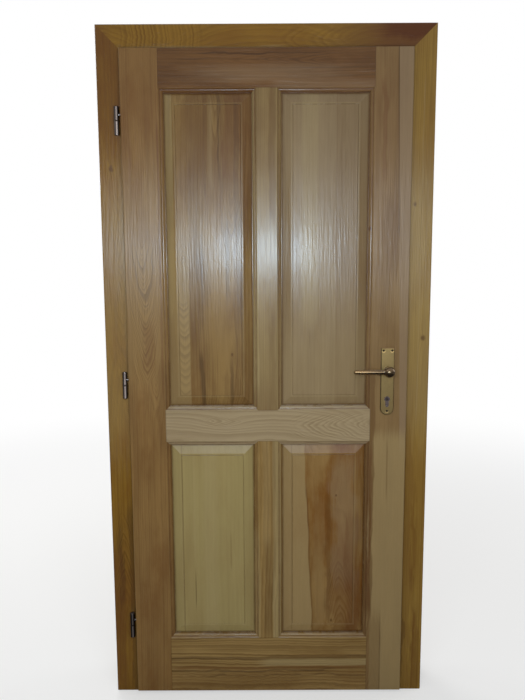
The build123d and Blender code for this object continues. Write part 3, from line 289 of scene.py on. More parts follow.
def nested_arches_group():
    """Rings that come out on the face as arches, one inside the other, along the grain.

    A point below 0 turns them round, so that they open towards the end of the board.
    """
    w, given, out = group(
        "Nested Arches",
        [
            ("Vector", "vector", None),
            ("Across", "value", 0.0),
            ("Half Width", "value", 0.03),
            ("Start", "value", 0.0),
            ("End", "value", 1.0),
            ("Pitch", "value", 0.02),
            ("Point", "value", 0.05),
            ("Wobble", "value", 0.5),
        ],
        [("Line", "value"), ("Area", "value")],
    )
    x, _, z = w.split(given["Vector"])
    bent = w.grain(given["Vector"], 14.0, 6.0, detail=2.0)
    aside = w.fused(w.minus(bent, 0.5), w.times(given["Half Width"], 0.9), x)
    off = w.size(w.over(w.minus(aside, given["Across"]), given["Half Width"]))
    arch = w.times(w.math("POWER", off, 1.35), given["Point"])
    jitter = w.grain(given["Vector"], 110.0, 26.0, detail=2.0)
    jitter = w.times(w.minus(jitter, 0.5), given["Wobble"])
    phase = w.plus(w.over(w.plus(z, arch), given["Pitch"]), jitter)
    slow = w.add("ShaderNodeTexNoise", {"W": phase, "Scale": 0.45, "Detail": 1.0}, noise_dimensions="1D")
    phase = w.fused(slow.outputs[0], 1.6, phase)
    part = w.math("FRACT", phase)
    line = w.minus(w.ramp(part, 0.15, 0.75), w.ramp(part, 0.82, 1.0))
    each = w.add("ShaderNodeTexWhiteNoise", {"W": w.math("FLOOR", phase)}, noise_dimensions="1D")
    w.set(out["Line"], w.times(line, w.ramp(each.outputs[0], 0.0, 1.0, 0.35, 1.0, smooth=False)))
    side = w.ramp(off, 0.70, 1.05, 1.0, 0.0)
    rise = w.ramp(z, given["Start"], w.plus(given["Start"], 0.05))
    fall = w.ramp(z, w.minus(given["End"], 0.05), given["End"], 1.0, 0.0)
    w.set(out["Area"], w.times(side, w.times(rise, fall)))


def knot_group():
    """A knot or an eye in the figure: its dark core, and the swelling that the rings pass round."""
    w, given, out = group(
        "Knot",
        [
            ("Vector", "vector", None),
            ("Across", "value", 0.0),
            ("Along", "value", 0.0),
            ("Core Size", "value", 0.006),
            ("Reach", "value", 0.03),
            ("Lift", "value", 0.02),
            ("Stretch", "value", 3.0),
        ],
        [("Core", "value"), ("Swelling", "value")],
    )
    x, _, z = w.split(given["Vector"])
    dx = w.minus(x, given["Across"])
    dz = w.minus(z, given["Along"])

    def distance(stretch):
        along = w.over(dz, stretch)
        return w.math("SQRT", w.plus(w.times(dx, dx), w.times(along, along)))

    wobble = w.times(w.minus(w.noise(given["Vector"], 90.0, 2.0), 0.5), 0.9)
    near = w.over(distance(1.4), w.math("MAXIMUM", given["Core Size"], 0.0001))
    w.set(out["Core"], w.ramp(w.plus(near, wobble), 0.3, 1.25, 1.0, 0.0))
    fall = w.over(distance(given["Stretch"]), given["Reach"])
    w.set(out["Swelling"], w.times(w.math("EXPONENT", w.times(fall, -1.0)), given["Lift"]))


def profile_shade_group():
    """Painted shade in the hollow and at the foot of a moulded profile, and a painted highlight along its crest.

    Y of the vector is the depth from the front face; both faces are alike.
    """
    w, given, out = group(
        "Profile Shade",
        [
            ("Vector", "vector", None),
            ("Thickness", "value", 0.04),
            ("Hollow", "value", 0.0035),
            ("Hollow Width", "value", 0.002),
            ("Foot", "value", 0.012),
            ("Crest", "value", 0.0006),
            ("Crest Width", "value", 0.0006),
        ],
        [("Dark", "value"), ("Light", "value")],
    )
    _, y, _ = w.split(given["Vector"])
    depth = w.math("MINIMUM", y, w.minus(given["Thickness"], y))

    def at(place, width):
        off = w.size(w.minus(depth, place))
        return w.ramp(off, 0.0, width, 1.0, 0.0)

    # The dark mask paints shade in the hollow and at the foot, and the light mask paints a highlight along the crest.
    foot = w.ramp(depth, w.minus(given["Foot"], 0.0018), given["Foot"])
    patch = w.ramp(w.noise(given["Vector"], 30.0, 3.0), 0.3, 0.7, 0.65, 1.0)
    dark = w.math("MAXIMUM", at(given["Hollow"], given["Hollow Width"]), foot)
    w.set(out["Dark"], w.times(dark, patch))
    w.set(out["Light"], at(given["Crest"], given["Crest Width"]))


def worn_metal_group():
    """Metal with fine brushing, cloudy handling marks and a darker tone in its low spots."""
    w, given, out = group(
        "Worn Metal",
        [
            ("Vector", "vector", None),
            ("Brushing", "vector", (900.0, 900.0, 30.0)),
            ("Clean", "colour", (0.6, 0.6, 0.6, 1)),
            ("Tarnished", "colour", (0.3, 0.3, 0.3, 1)),
            ("Tarnish", "value", 0.5),
            ("Polish", "value", 0.3),
        ],
        [("Color", "colour"), ("Roughness", "value"), ("Height", "value")],
    )
    brush = w.noise(w.vector("MULTIPLY", given["Vector"], given["Brushing"]), detail=3.0)
    cloud = w.noise(given["Vector"], 70.0, 4.0, 0.65)
    speck = w.noise(given["Vector"], 900.0, 2.0)
    mask = w.times(w.ramp(cloud, 0.38, 0.72), given["Tarnish"])
    mask = w.fused(w.ramp(speck, 0.62, 0.75), 0.25, mask, clamp=True)
    w.set(out["Color"], w.mix(mask, given["Clean"], given["Tarnished"]))
    rough = w.fused(w.minus(brush, 0.5), 0.16, given["Polish"])
    w.set(out["Roughness"], w.fused(mask, 0.12, rough, clamp=True))
    w.set(out["Height"], w.fused(speck, 0.2, brush))


def dust_group():
    """Pale dust that settles on faces which look up."""
    w, given, out = group(
        "Settled Dust",
        [("Vector", "vector", None), ("Amount", "value", 0.3)],
        [("Mask", "value")],
    )
    facing = w.split(w.add("ShaderNodeNewGeometry").outputs["True Normal"])[2]
    patch = w.noise(given["Vector"], 40.0, 4.0, 0.6)
    mask = w.times(w.ramp(facing, 0.55, 0.95), w.ramp(patch, 0.3, 0.7))
    w.set(out["Mask"], w.times(mask, given["Amount"], clamp=True))


def use_group(w, name, **inputs):
    """The named group in a tree, with its inputs set."""
    node = w.add("ShaderNodeGroup")
    node.node_tree = bpy.data.node_groups[name]
    for key, value in inputs.items():
        w.set(node.inputs[key.replace("_", " ")], value)
    return node.outputs


def new_material(name):
    """A material with only its Principled shader, and the wiring of its tree."""
    material = bpy.data.materials.new(name)
    material.use_nodes = True
    tree = material.node_tree
    tree.nodes.clear()
    w = Wiring(tree)
    shader = w.add("ShaderNodeBsdfPrincipled")
    output = w.add("ShaderNodeOutputMaterial")
    tree.links.new(shader.outputs[0], output.inputs["Surface"])
    return material, w, shader.inputs


def dress(name, material):
    """Gives a CAD node its finish in every slot."""
    slots = NODES[name].data.materials
    if not slots:
        slots.append(material)
    for i in range(len(slots)):
        slots[i] = material


# ---------------------------------------------------------------- settings


def number(name, description, default, **limits):
    return bpy.props.FloatProperty(name=name, description=description, default=default, **limits)


def power(name, description, default):
    return number(name, description, default, min=0, unit="POWER")


def angle(name, description, degrees):
    return number(name, description, radians(degrees), subtype="ANGLE")


def colour_setting(name, description, value):
    return bpy.props.FloatVectorProperty(
        name=name, description=description, subtype="COLOR", size=3, min=0, max=1, default=value
    )


class DoorWoodSettings(bpy.types.PropertyGroup):
    """Tones and finish of the boards."""

    brightness: number(
        "Brightness", "Makes every board lighter or darker", 1.0, min=0.3, max=2.0, subtype="FACTOR",
    )
    lacquer: number("Lacquer", "Weight of the clear coat over the wood", 0.08, min=0, max=1, subtype="FACTOR")
    lacquer_roughness: number(
        "Lacquer Roughness", "How much the coat blurs what it mirrors", 0.12, min=0.02, max=1, subtype="FACTOR",
    )
    relief: number(
        "Grain Relief", "Depth of the fibres that can be felt", 0.00065, min=0, max=0.002, unit="LENGTH",
        precision=5,
    )
    dust_colour: colour_setting("Dust", "Colour of settled dust", (0.45, 0.43, 0.40))


class DoorMetalSettings(bpy.types.PropertyGroup):
    """Colours of the fittings."""

    # The hinges show this nickel only down their fronts; their sides, arms and seams are painted dark as shade and
    # reflection.
    nickel: colour_setting("Nickel", "The hinges, where they are rubbed clean", (0.90, 0.76, 0.70))
    chrome: colour_setting("Chrome", "The lock's forend and cylinder", (0.70, 0.55, 0.53))
    brass: colour_setting("Brass", "The levers, dark with age", (0.150, 0.092, 0.038))
    plate: colour_setting("Plates", "Satin lock plates", (0.360, 0.245, 0.100))
    steel: colour_setting("Zinc Steel", "Lock case, strike and screws", (0.50, 0.50, 0.49))


class DoorScrewSettings(bpy.types.PropertyGroup):
    """The drive and thread that every screw shares."""

    recess_width: number(
        "Recess Width", "Width of a cross slot against the head's radius", 0.30, min=0.1, max=0.6,
        subtype="FACTOR",
    )
    thread_pitch: number(
        "Thread Pitch", "Rise of the thread in one turn", 0.0016, min=0.0005, max=0.004, unit="LENGTH",
        precision=4,
    )


class DoorStageSettings(bpy.types.PropertyGroup):
    """Camera, floor and lights."""

    camera_place: bpy.props.FloatVectorProperty(
        name="Camera", description="Where the camera stands", size=3,
        default=(-0.0122, -2.3624, 1.4763), subtype="XYZ", unit="LENGTH",
    )
    camera_tilt: angle("Tilt", "How far the camera looks down", 8.712)
    camera_turn: angle("Turn", "How far the camera looks to the right", -0.075)
    camera_roll: angle("Roll", "How far the camera leans to its right", 0.289)
    lens: number(
        "Lens", "Focal length on a 36 mm high picture", 40.11, min=10, max=200, subtype="DISTANCE_CAMERA",
    )
    window_power: power("Window", "Soft light from behind the camera", 6.45)
    wall_power: power("Bright Wall", "Wide faint light that the room behind the camera throws back", 15.0)
    side_power: power("Side Light", "Soft light from the upper right", 4.4)
    glare: power("Window Glare", "The window's mirror image in the lacquer", 7.2)
    left_power: power("Left Light", "Small light from the upper left", 2.0)
    back_power: power("Back Light", "Soft light on the back of the door", 45.0)
    flank_power: power("Flank Lights", "Soft lights on the two sides of the frame", 13.0)
    sky: number("Surround", "Strength of the even light from all round", 0.355, min=0, max=2)
    floor_colour: colour_setting("Floor", "Colour of the pale floor", (0.80, 0.80, 0.79))


# ---------------------------------------------------------------- wood

# Tones, as linear colours: pale wood, its late wood, and its stain.
TONES = {
    "ochre": ((0.236, 0.122, 0.014), (0.090, 0.036, 0.003), (0.140, 0.046, 0.004)),
    "amber": ((0.265, 0.158, 0.030), (0.138, 0.067, 0.009), (0.155, 0.066, 0.010)),
    "honey": ((0.255, 0.180, 0.088), (0.140, 0.086, 0.036), (0.170, 0.098, 0.044)),
    "mauve": ((0.242, 0.139, 0.045), (0.105, 0.050, 0.014), (0.142, 0.061, 0.015)),
    "fawn": ((0.222, 0.138, 0.055), (0.118, 0.064, 0.022), (0.128, 0.066, 0.022)),
    "dusky": ((0.150, 0.070, 0.021), (0.060, 0.025, 0.008), (0.080, 0.032, 0.009)),
    "umber": ((0.228, 0.138, 0.044), (0.088, 0.042, 0.011), (0.112, 0.048, 0.012)),
    "beige": ((0.240, 0.170, 0.088), (0.145, 0.092, 0.041), (0.164, 0.100, 0.045)),
    "straw": ((0.335, 0.256, 0.146), (0.190, 0.130, 0.063), (0.236, 0.160, 0.082)),
    "lemon": ((0.318, 0.248, 0.100), (0.200, 0.142, 0.048), (0.240, 0.160, 0.058)),
    "olive": ((0.290, 0.184, 0.062), (0.124, 0.066, 0.018), (0.158, 0.084, 0.022)),
    "russet": ((0.252, 0.148, 0.048), (0.120, 0.050, 0.008), (0.165, 0.066, 0.010)),
    "hazel": ((0.240, 0.162, 0.064), (0.122, 0.070, 0.024), (0.150, 0.082, 0.031)),
}


def board(
    tone, way, seed, pith=(0.0, 0.06), ring=0.006, taper=0.02, wander=0.03, ripple=0.003, marks=(0.6, 0.5, 0.3),
):
    """One board's figure: where its pith lies (across and in depth), its rings, and how strong
    the rings, the fibres and the stain are."""
    return tone, way, dict(
        Seed=float(seed), Pith_Across=pith[0], Pith_Depth=pith[1], Ring_Width=ring, Taper=taper,
        Wander=wander, Ripple=ripple, Ring_Strength=marks[0], Fibre_Strength=marks[1], Stain_Strength=marks[2],
    )


BOARDS = {
    "front_casing_left": board(
        "ochre", "up", 1, (0.100, 0.060), 0.0085, 0.012, 0.030, 0.004, (0.28, 0.60, 0.45),
    ),
    "front_casing_right": board(
        "amber", "up", 2, (0.110, 0.040), 0.0050, 0.008, 0.014, 0.001, (0.45, 0.70, 0.25),
    ),
    "front_casing_head": board(
        "ochre", "across", 3, (-0.110, 0.070), 0.0110, 0.010, 0.030, 0.006, (0.22, 0.65, 0.25),
    ),
    "rear_casing_left": board(
        "ochre", "up", 4, (-0.060, 0.060), 0.0060, 0.018, 0.026, 0.003, (0.55, 0.60, 0.35),
    ),
    "rear_casing_right": board(
        "amber", "up", 5, (0.070, 0.050), 0.0065, 0.014, 0.026, 0.003, (0.55, 0.60, 0.35),
    ),
    "rear_casing_head": board(
        "ochre", "across", 6, (0.060, 0.060), 0.0060, 0.016, 0.026, 0.003, (0.55, 0.60, 0.35),
    ),
    "hinge_jamb": board("honey", "up", 7, (0.050, 0.080), 0.0050, 0.010, 0.026, 0.002, (0.50, 0.60, 0.30)),
    "lock_jamb": board("honey", "up", 8, (-0.050, 0.080), 0.0050, 0.012, 0.026, 0.002, (0.50, 0.60, 0.30)),
    "head_jamb": board("honey", "across", 9, (0.050, 0.080), 0.0050, 0.010, 0.026, 0.002, (0.50, 0.60, 0.30)),
    "hinge_stile": board("mauve", "up", 10, (0.120, 0.050), 0.0060, 0.006, 0.026, 0.002, (0.30, 0.85, 0.45)),
    "lock_stile": board("fawn", "up", 11, (-0.120, 0.040), 0.0070, 0.005, 0.024, 0.001, (0.20, 1.00, 0.35)),
    "top_rail": board("dusky", "across", 12, (0.110, 0.040), 0.0070, 0.006, 0.034, 0.003, (0.30, 0.80, 0.45)),
    "middle_rail": board(
        "straw", "across", 13, (-0.060, 0.060), 0.0085, -0.010, 0.030, 0.003, (0.45, 0.45, 0.20),
    ),
    "bottom_rail": board(
        "olive", "across", 14, (-0.120, 0.060), 0.0085, 0.010, 0.040, 0.005, (0.70, 0.60, 0.45),
    ),
    "upper_mullion": board("hazel", "up", 15, (0.090, 0.060), 0.0050, 0.006, 0.018, 0.001, (0.40, 1.00, 0.30)),
    "lower_mullion": board("olive", "up", 16, (0.040, 0.050), 0.0060, 0.014, 0.030, 0.003, (0.50, 0.70, 0.50)),
    "panel_upper_left": board(
        "umber", "up", 17, (0.160, 0.080), 0.0070, 0.008, 0.034, 0.004, (0.35, 1.15, 0.40),
    ),
    "panel_upper_right": board(
        "beige", "up", 18, (-0.160, 0.070), 0.0090, 0.005, 0.030, 0.001, (0.15, 0.70, 0.25),
    ),
    "panel_lower_left": board(
        "lemon", "up", 19, (0.160, 0.080), 0.0120, 0.006, 0.030, 0.001, (0.10, 0.38, 0.25),
    ),
    "panel_lower_right": board(
        "russet", "up", 20, (0.020, 0.090), 0.0090, 0.014, 0.060, 0.006, (0.22, 0.75, 0.80),
    ),
}

# Knots and eyes: across and along the board, size of the core, then reach, lift and
# stretch of the swelling round it. A core of 0 is an eye in the figure alone.
KNOTS = {
    "front_casing_left": ((-0.006, 1.657, 0.0080, 0.012, 0.014, 2.5), (0.010, 1.36, 0, 0.030, 0.040, 4.0),
                          (0.012, 1.13, 0, 0.026, 0.030, 3.0), (0.004, 0.36, 0, 0.024, 0.030, 3.0)),
    "front_casing_right": (
        (-0.0145, 1.551, 0.0055, 0.010, 0.010, 2.5), (0.0195, 1.152, 0.0075, 0.012, 0.014, 3.0),
    ),
    "front_casing_head": ((-0.010, -0.30, 0, 0.060, 0.110, 2.2), (0.0, 0.20, 0, 0.040, 0.050, 2.0)),
    "hinge_stile": ((-0.004, 1.17, 0, 0.026, 0.045, 3.6), (0.030, 0.95, 0, 0.016, 0.020, 3.0)),
    "middle_rail": ((0.002, 0.33, 0, 0.050, 0.085, 2.6), (0.008, -0.13, 0, 0.024, 0.034, 2.6)),
    "panel_upper_left": ((0.064, 1.105, 0.0045, 0.014, 0.022, 4.0),),
    "panel_lower_right": ((0.028, 0.245, 0.0050, 0.020, 0.020, 3.0), (0.040, 0.66, 0.0040, 0.030, 0.030, 2.0)),
    "lock_stile": ((-0.056, 1.48, 0.0060, 0.012, 0.012, 2.0), (-0.050, 0.56, 0, 0.012, 0.020, 4.0)),
    "rear_casing_left": ((0.010, 0.80, 0.0060, 0.014, 0.020, 2.5),),
    "hinge_jamb": ((0.030, 1.30, 0.0070, 0.016, 0.020, 2.5),),
}


# Nested arches: across the board and half their width, from low to high along it, their
# pitch, how far they point (below 0: towards the start), and their strength.
ARCHES = {
    "hinge_stile": (
        (-0.006, 0.046, 1.00, 1.46, 0.022, -0.20, 0.90), (0.020, 0.020, 0.90, 1.06, 0.030, -0.09, 0.5),
    ),
    "front_casing_left": (
        (0.014, 0.022, 1.00, 1.62, 0.032, -0.060, 0.30), (-0.004, 0.030, 0.30, 0.62, 0.032, 0.10, 0.40),
    ),
    "front_casing_head": (
        (0.002, 0.042, -0.44, -0.17, 0.0115, 0.008, 0.55), (-0.004, 0.036, 0.02, 0.26, 0.026, -0.05, 0.25),
    ),
    "middle_rail": (
        (0.000, 0.042, 0.06, 0.325, 0.021, -0.085, 0.52), (0.014, 0.022, -0.22, -0.04, 0.020, 0.09, 0.42),
    ),
    "panel_upper_left": (
        (-0.078, 0.016, 0.960, 1.29, 0.023, -0.016, 1.00), (-0.080, 0.013, 1.33, 1.46, 0.011, 0.022, 0.50),
        (0.022, 0.018, 1.70, 1.87, 0.050, -0.12, 0.50), (0.066, 0.030, 1.36, 1.60, 0.045, -0.16, 0.45),
    ),
    "panel_upper_right": ((0.060, 0.022, 1.40, 1.80, 0.055, 0.14, 0.25),),
    "panel_lower_right": ((0.055, 0.040, 0.21, 0.48, 0.030, 0.12, 0.45),),
    "lock_stile": (
        (-0.046, 0.013, 0.40, 0.66, 0.034, -0.06, 0.90), (-0.030, 0.034, -0.05, 0.30, 0.050, 0.20, 0.50),
    ),
    "bottom_rail": ((-0.044, 0.030, -0.30, 0.10, 0.040, 0.20, 0.35),),
    "top_rail": ((0.028, 0.022, -0.16, 0.20, 0.045, -0.14, 0.40),),
}


def strip(
    start, stop, tint, strength, low=-9.0, high=9.0, wave=0.0, rate=4.0, lean=0.0, soft=0.0015, fray=None,
    fade=None,
):
    """A strip between two distances across the board, from low to high along it."""
    if fray is None:
        fray = wave * 0.35
    if fade is None:
        fade = 0.14 if soft >= 0.01 else 0.03
    return tint, strength, dict(
        From=start, To=stop, Start=low, End=high, Wave=wave, Wave_Rate=rate, Lean=lean, Softness=soft, Fray=fray, Fade=fade,
    )


RED, DARK, BROWN, RUST = (0.105, 0.036, 0.010), (0.048, 0.022, 0.009), (0.115, 0.058, 0.018), (0.075, 0.016, 0.002)
PALE, BLOND, PINK = (0.300, 0.215, 0.095), (0.340, 0.265, 0.125), (0.230, 0.158, 0.092)
STRIPS = {
    "front_casing_head": (
        strip(-0.1, 0.1, BROWN, 0.5, 0.20, 0.6, fade=0.08), strip(-0.1, 0.1, RUST, 0.30, 0.22, 0.60, fade=0.06),
        strip(-0.1, 0.1, RED, 0.85, 0.31, 0.60, fade=0.05),
        strip(0.0, 0.1, RUST, 0.9, 0.34, 0.60, wave=0.05, rate=20, soft=0.01, fade=0.03),
        strip(-0.1, 0.1, RED, 0.6, -0.60, -0.462), strip(-0.1, -0.020, PALE, 0.4, -0.42, 0.05, wave=0.02),
    ),
    "front_casing_left": (
        # Painted sheen: paler across the whole board at mid height.
        strip(-0.1, 0.1, PALE, 0.45, 0.80, 1.66, wave=0.05, soft=0.02),
        strip(-0.1, 0.1, BROWN, 0.22, -1, 0.62, wave=0.06, soft=0.02),
        strip(-0.1, -0.008, RED, 0.50, -1, 0.48, wave=0.04, soft=0.006),
        strip(-0.1, 0.1, RED, 0.62, 1.72, 2.2, wave=0.03, soft=0.02),
        strip(-0.1, 0.1, DARK, 0.14, 1.70, 2.2, soft=0.02),
        strip(0.020, 0.026, PALE, 0.4, 1.1, 1.6, wave=0.03, rate=9),
        strip(0.012, 0.05, DARK, 0.45, -1, 0.62, wave=0.05, rate=6, soft=0.003, fray=0.02),
        strip(-0.02, -0.004, DARK, 0.40, 0.30, 0.56, wave=0.04, rate=7, soft=0.003, fray=0.02),
    ),
    "front_casing_right": (
        # Painted sheen: paler across the whole board at mid height.
        strip(-0.1, 0.1, BLOND, 0.35, 0.86, 1.66, wave=0.05, soft=0.02),
        strip(-0.1, -0.002, RED, 0.36, -1, 0.84, wave=0.06, rate=4, soft=0.003, fray=0.03, fade=0.12),
        strip(0.004, 0.012, RUST, 0.35, 0.1, 0.70, wave=0.05, rate=6, soft=0.003, fray=0.03),
        strip(0.006, 0.030, RUST, 0.45, -1, 0.26, wave=0.04, soft=0.006, fray=0.03, fade=0.08),
        strip(0.004, 0.008, PALE, 0.4, 0.9, 1.9, wave=0.01), strip(0.017, 0.019, BROWN, 0.5, 1.16, 1.22),
        strip(-0.034, -0.022, DARK, 0.45, 0.06, 0.34, wave=0.06, rate=7, soft=0.002, fray=0.03),
        strip(-0.036, -0.026, DARK, 0.35, 0.50, 0.78, wave=0.05, rate=8, soft=0.002, fray=0.03),
    ),
    "hinge_stile": (
        # Painted sheen: paler across the whole board at mid height.
        strip(-0.1, 0.1, PALE, 0.30, 1.02, 1.60, wave=0.05, soft=0.02),
        strip(0.040, 0.0465, RED, 0.55, 0.98, 1.78, wave=0.008, rate=9),
        strip(0.028, 0.07, BROWN, 0.45, 0.80, 1.08, wave=0.03, soft=0.006),
        strip(-0.1, 0.1, RED, 0.42, 1.72, 2.1, wave=0.05, soft=0.02),
        strip(-0.012, 0.020, RED, 0.40, 1.06, 1.20, wave=0.05, rate=9, soft=0.006, fray=0.03),
        strip(0.010, 0.020, DARK, 0.35, 0.98, 1.14, wave=0.04, rate=8, fray=0.02, lean=0.12),
        strip(-0.1, 0.1, RED, 0.06, -1, 0.95, soft=0.02),
    ),
    "lock_stile": (
        strip(0.0605, 0.3, PINK, 0.85, 0.80, 2.1, wave=0.003, lean=0.0206),
        strip(0.0575, 0.0605, DARK, 0.85, 1.46, 2.1, lean=0.0206, soft=0.0008),
        strip(-0.040, 0.3, PALE, 0.90, -1, 0.86, wave=0.02, rate=5, soft=0.003),
        strip(-0.062, -0.034, BROWN, 0.85, 0.27, 1.05, wave=0.024, rate=7, soft=0.002),
        strip(-0.052, -0.046, PALE, 0.8, 0.46, 0.62, wave=0.008, rate=16),
        strip(-0.070, -0.006, BROWN, 0.50, -1, 0.265, wave=0.02, rate=8, soft=0.003, fade=0.05),
        strip(-0.0075, -0.004, DARK, 0.6, -1, 0.25, wave=0.006),
        strip(0.004, 0.008, BROWN, 0.6, 0.66, 0.83, wave=0.01),
        strip(-0.045, -0.030, BROWN, 0.40, 1.60, 1.86, wave=0.02, soft=0.004),
        strip(-0.1, 0.0575, RED, 0.28, 1.40, 2.1, lean=0.0206, soft=0.002, fade=0.2),
        strip(-0.025, -0.012, RED, 0.50, 1.62, 1.90, wave=0.05, rate=7, soft=0.003, fray=0.02),
        strip(-0.052, -0.040, RED, 0.50, 0.28, 0.80, wave=0.03, rate=9, fray=0.01),
    ),
    "top_rail": (
        strip(0.044, 0.0485, DARK, 0.85, -0.20, 0.16, wave=0.030, rate=8, soft=0.001),
        strip(0.030, 0.033, DARK, 0.45, -0.26, 0.05, wave=0.020, rate=7),
        strip(0.004, 0.007, DARK, 0.55, 0.08, 0.4, wave=0.012, rate=5),
        strip(-0.016, -0.013, BROWN, 0.6, 0.10, 0.4, wave=0.006),
        strip(-0.030, 0.014, PINK, 0.45, -0.20, 0.20, wave=0.03, soft=0.012),
        strip(-0.060, -0.030, PINK, 0.4, 0.02, 0.4, wave=0.02, soft=0.008),
    ),
    "upper_mullion": (
        strip(-0.036, -0.014, BLOND, 0.5, 1.0, 2.0, wave=0.03, rate=2, lean=0.010),
        strip(0.004, 0.024, BROWN, 0.60, 1.50, 1.95, wave=0.03, soft=0.003),
        strip(0.010, 0.022, BROWN, 0.70, 0.95, 1.24, wave=0.02, rate=6),
        strip(0.004, 0.012, BROWN, 0.4, 0.90, 1.2, wave=0.02, soft=0.003),
        # Painted light: paler across the board at mid height, and painted shade towards the top.
        strip(-0.1, 0.1, BLOND, 0.30, 0.9, 1.22, soft=0.02), strip(-0.1, 0.1, DARK, 0.10, 1.45, 2.1, soft=0.02),
    ),
    "lower_mullion": (
        strip(0.014, 0.04, BLOND, 0.65, -1, 0.90, wave=0.012, rate=3),
        strip(-0.060, -0.026, BLOND, 0.40, -1, 0.55, wave=0.02, soft=0.003),
        strip(-0.012, 0.012, DARK, 0.30, 0.2, 0.52, wave=0.04, rate=4, soft=0.004),
        strip(0.010, 0.022, BROWN, 0.40, 0.4, 0.9, wave=0.02, soft=0.003),
        strip(-0.016, 0.006, PALE, 0.35, 0.5, 0.9, wave=0.02, soft=0.003),
    ),
    "bottom_rail": (
        strip(-0.013, 0.011, BLOND, 0.60, -0.02, 0.5, wave=0.012, rate=4, soft=0.002),
        strip(0.010, 0.020, DARK, 0.55, -0.5, 0.4, wave=0.030, rate=5, soft=0.003),
        strip(-0.024, -0.014, RED, 0.60, -0.3, 0.5, wave=0.02, rate=5, soft=0.003),
        strip(-0.2, -0.030, RED, 0.22, -0.5, 0.5, wave=0.03, soft=0.01),
        strip(-0.032, -0.026, DARK, 0.5, -0.4, 0.2, wave=0.040, rate=7),
        strip(-0.048, -0.042, DARK, 0.45, -0.2, 0.35, wave=0.040, rate=8),
    ),
    "panel_upper_left": (
        strip(-0.3, -0.062, PALE, 0.65, 0, 1.40, wave=0.006, rate=3, fade=0.12),
        # Painted light on the left bevel, which faces away from the light.
        strip(-0.3, -0.104, BLOND, 0.60, 1.30, 1.95, wave=0.006, fade=0.15),
        strip(0.088, 0.135, RED, 0.48, 1.50, 2.1, wave=0.024, rate=5, soft=0.008, fade=0.12),
        strip(0.046, 0.090, RED, 0.42, 1.62, 1.90, wave=0.060, rate=5, soft=0.003, fray=0.024),
        strip(0.052, 0.094, BROWN, 0.62, 1.30, 1.66, wave=0.060, rate=5, soft=0.003, fray=0.024, lean=-0.08),
        strip(0.026, 0.034, DARK, 0.55, 1.62, 1.88, wave=0.03, rate=7, soft=0.002),
        strip(-0.060, 0.0, BROWN, 0.30, 1.60, 1.95, wave=0.06, rate=3, soft=0.01),
        strip(0.046, 0.060, DARK, 0.40, 1.28, 1.50, wave=0.030, rate=9, soft=0.002, fray=0.02),
        strip(0.074, 0.090, DARK, 0.35, 1.45, 1.85, wave=0.02, rate=6),
        strip(-0.012, -0.009, DARK, 0.75, 1.585, 1.61),
        strip(0.030, 0.042, DARK, 0.70, 0.90, 1.10, wave=0.012, rate=9, lean=0.06, soft=0.003),
        strip(0.058, 0.068, DARK, 0.60, 0.93, 1.09, wave=0.012, rate=9, soft=0.003),
        strip(0.000, 0.012, PALE, 0.35, 1.60, 1.85, wave=0.02, soft=0.004),
    ),
    "panel_upper_right": (
        strip(0.033, 0.3, BROWN, 0.28, wave=0.004, rate=2, soft=0.0008),
        strip(0.032, 0.0345, BROWN, 0.5, 1.3, 1.86, wave=0.004),
        strip(0.044, 0.050, BROWN, 0.35, 1.55, 1.80, wave=0.02), strip(-0.045, -0.043, DARK, 0.6, 1.14, 1.165),
        strip(-0.070, -0.020, BLOND, 0.35, 1.2, 1.9, wave=0.02, soft=0.008),
        # Painted light: paler across the board at mid height, and painted shade towards the top.
        strip(-0.2, 0.2, BLOND, 0.22, 0.9, 1.22, soft=0.02), strip(-0.2, 0.2, DARK, 0.10, 1.45, 2.1, soft=0.02),
    ),
    "panel_lower_left": (
        strip(-0.060, -0.0575, DARK, 0.80, 0.295, 0.40, wave=0.003, soft=0.0008),
        strip(-0.030, 0.012, BLOND, 0.35, wave=0.02, soft=0.008),
        strip(0.052, 0.056, BROWN, 0.35, 0.42, 0.53, wave=0.01),
        strip(-0.062, -0.056, BLOND, 0.3, 0.45, 0.8, wave=0.01), strip(-0.098, -0.094, BROWN, 0.35, wave=0.003),
    ),
    "panel_lower_right": (
        strip(0.034, 0.110, PINK, 0.50, 0.36, 0.78, wave=0.16, rate=5, soft=0.012, fray=0.05, fade=0.05),
        strip(0.016, 0.110, RUST, 0.35, 0.10, 0.46, wave=0.14, rate=6, soft=0.008, fray=0.05, fade=0.08),
        strip(0.070, 0.115, RED, 0.45, 0.10, 0.60, wave=0.08, rate=5, soft=0.004, fray=0.03),
        strip(-0.030, 0.004, PALE, 0.22, 0.20, 0.66, wave=0.05, rate=5, soft=0.006, fray=0.03),
        strip(0.010, 0.026, DARK, 0.30, 0.24, 0.66, wave=0.07, rate=7, soft=0.004, fray=0.04),
        strip(-0.3, -0.026, PALE, 0.95, wave=0.020, rate=5, lean=0.040, soft=0.0014, fray=0.008),
        strip(-0.026, -0.021, DARK, 0.40, 0.2, 0.7, wave=0.020, rate=5, lean=0.040, fray=0.008),
        strip(-0.100, -0.0965, BROWN, 0.55, 0.22, 0.82),
    ),
    "rear_casing_right": (strip(-0.020, 0.0, BROWN, 0.5, -1, 0.9, wave=0.05, soft=0.005),),
    "hinge_jamb": (strip(0.0, 0.020, BROWN, 0.4, 0.2, 1.4, wave=0.05, soft=0.005),),
}

# Moulded boards: thickness, then the depths of the hollow and the foot, where shade is painted, and of the crest,
# where a highlight is painted.
MOULDED = dict(
    Thickness=0.040, Hollow=0.0036, Hollow_Width=0.0022, Foot=0.0121, Crest=0.0008, Crest_Width=0.0006,
)
RAISED = dict(
    Thickness=0.029, Hollow=0.0014, Hollow_Width=0.0012, Foot=0.0106, Crest=0.0026, Crest_Width=0.0004,
)
PROFILES = {name: MOULDED for name in (
    "hinge_stile", "lock_stile", "top_rail", "middle_rail", "bottom_rail", "upper_mullion", "lower_mullion",
)}
PROFILES.update({name: RAISED for name in BOARDS if name.startswith("panel")})


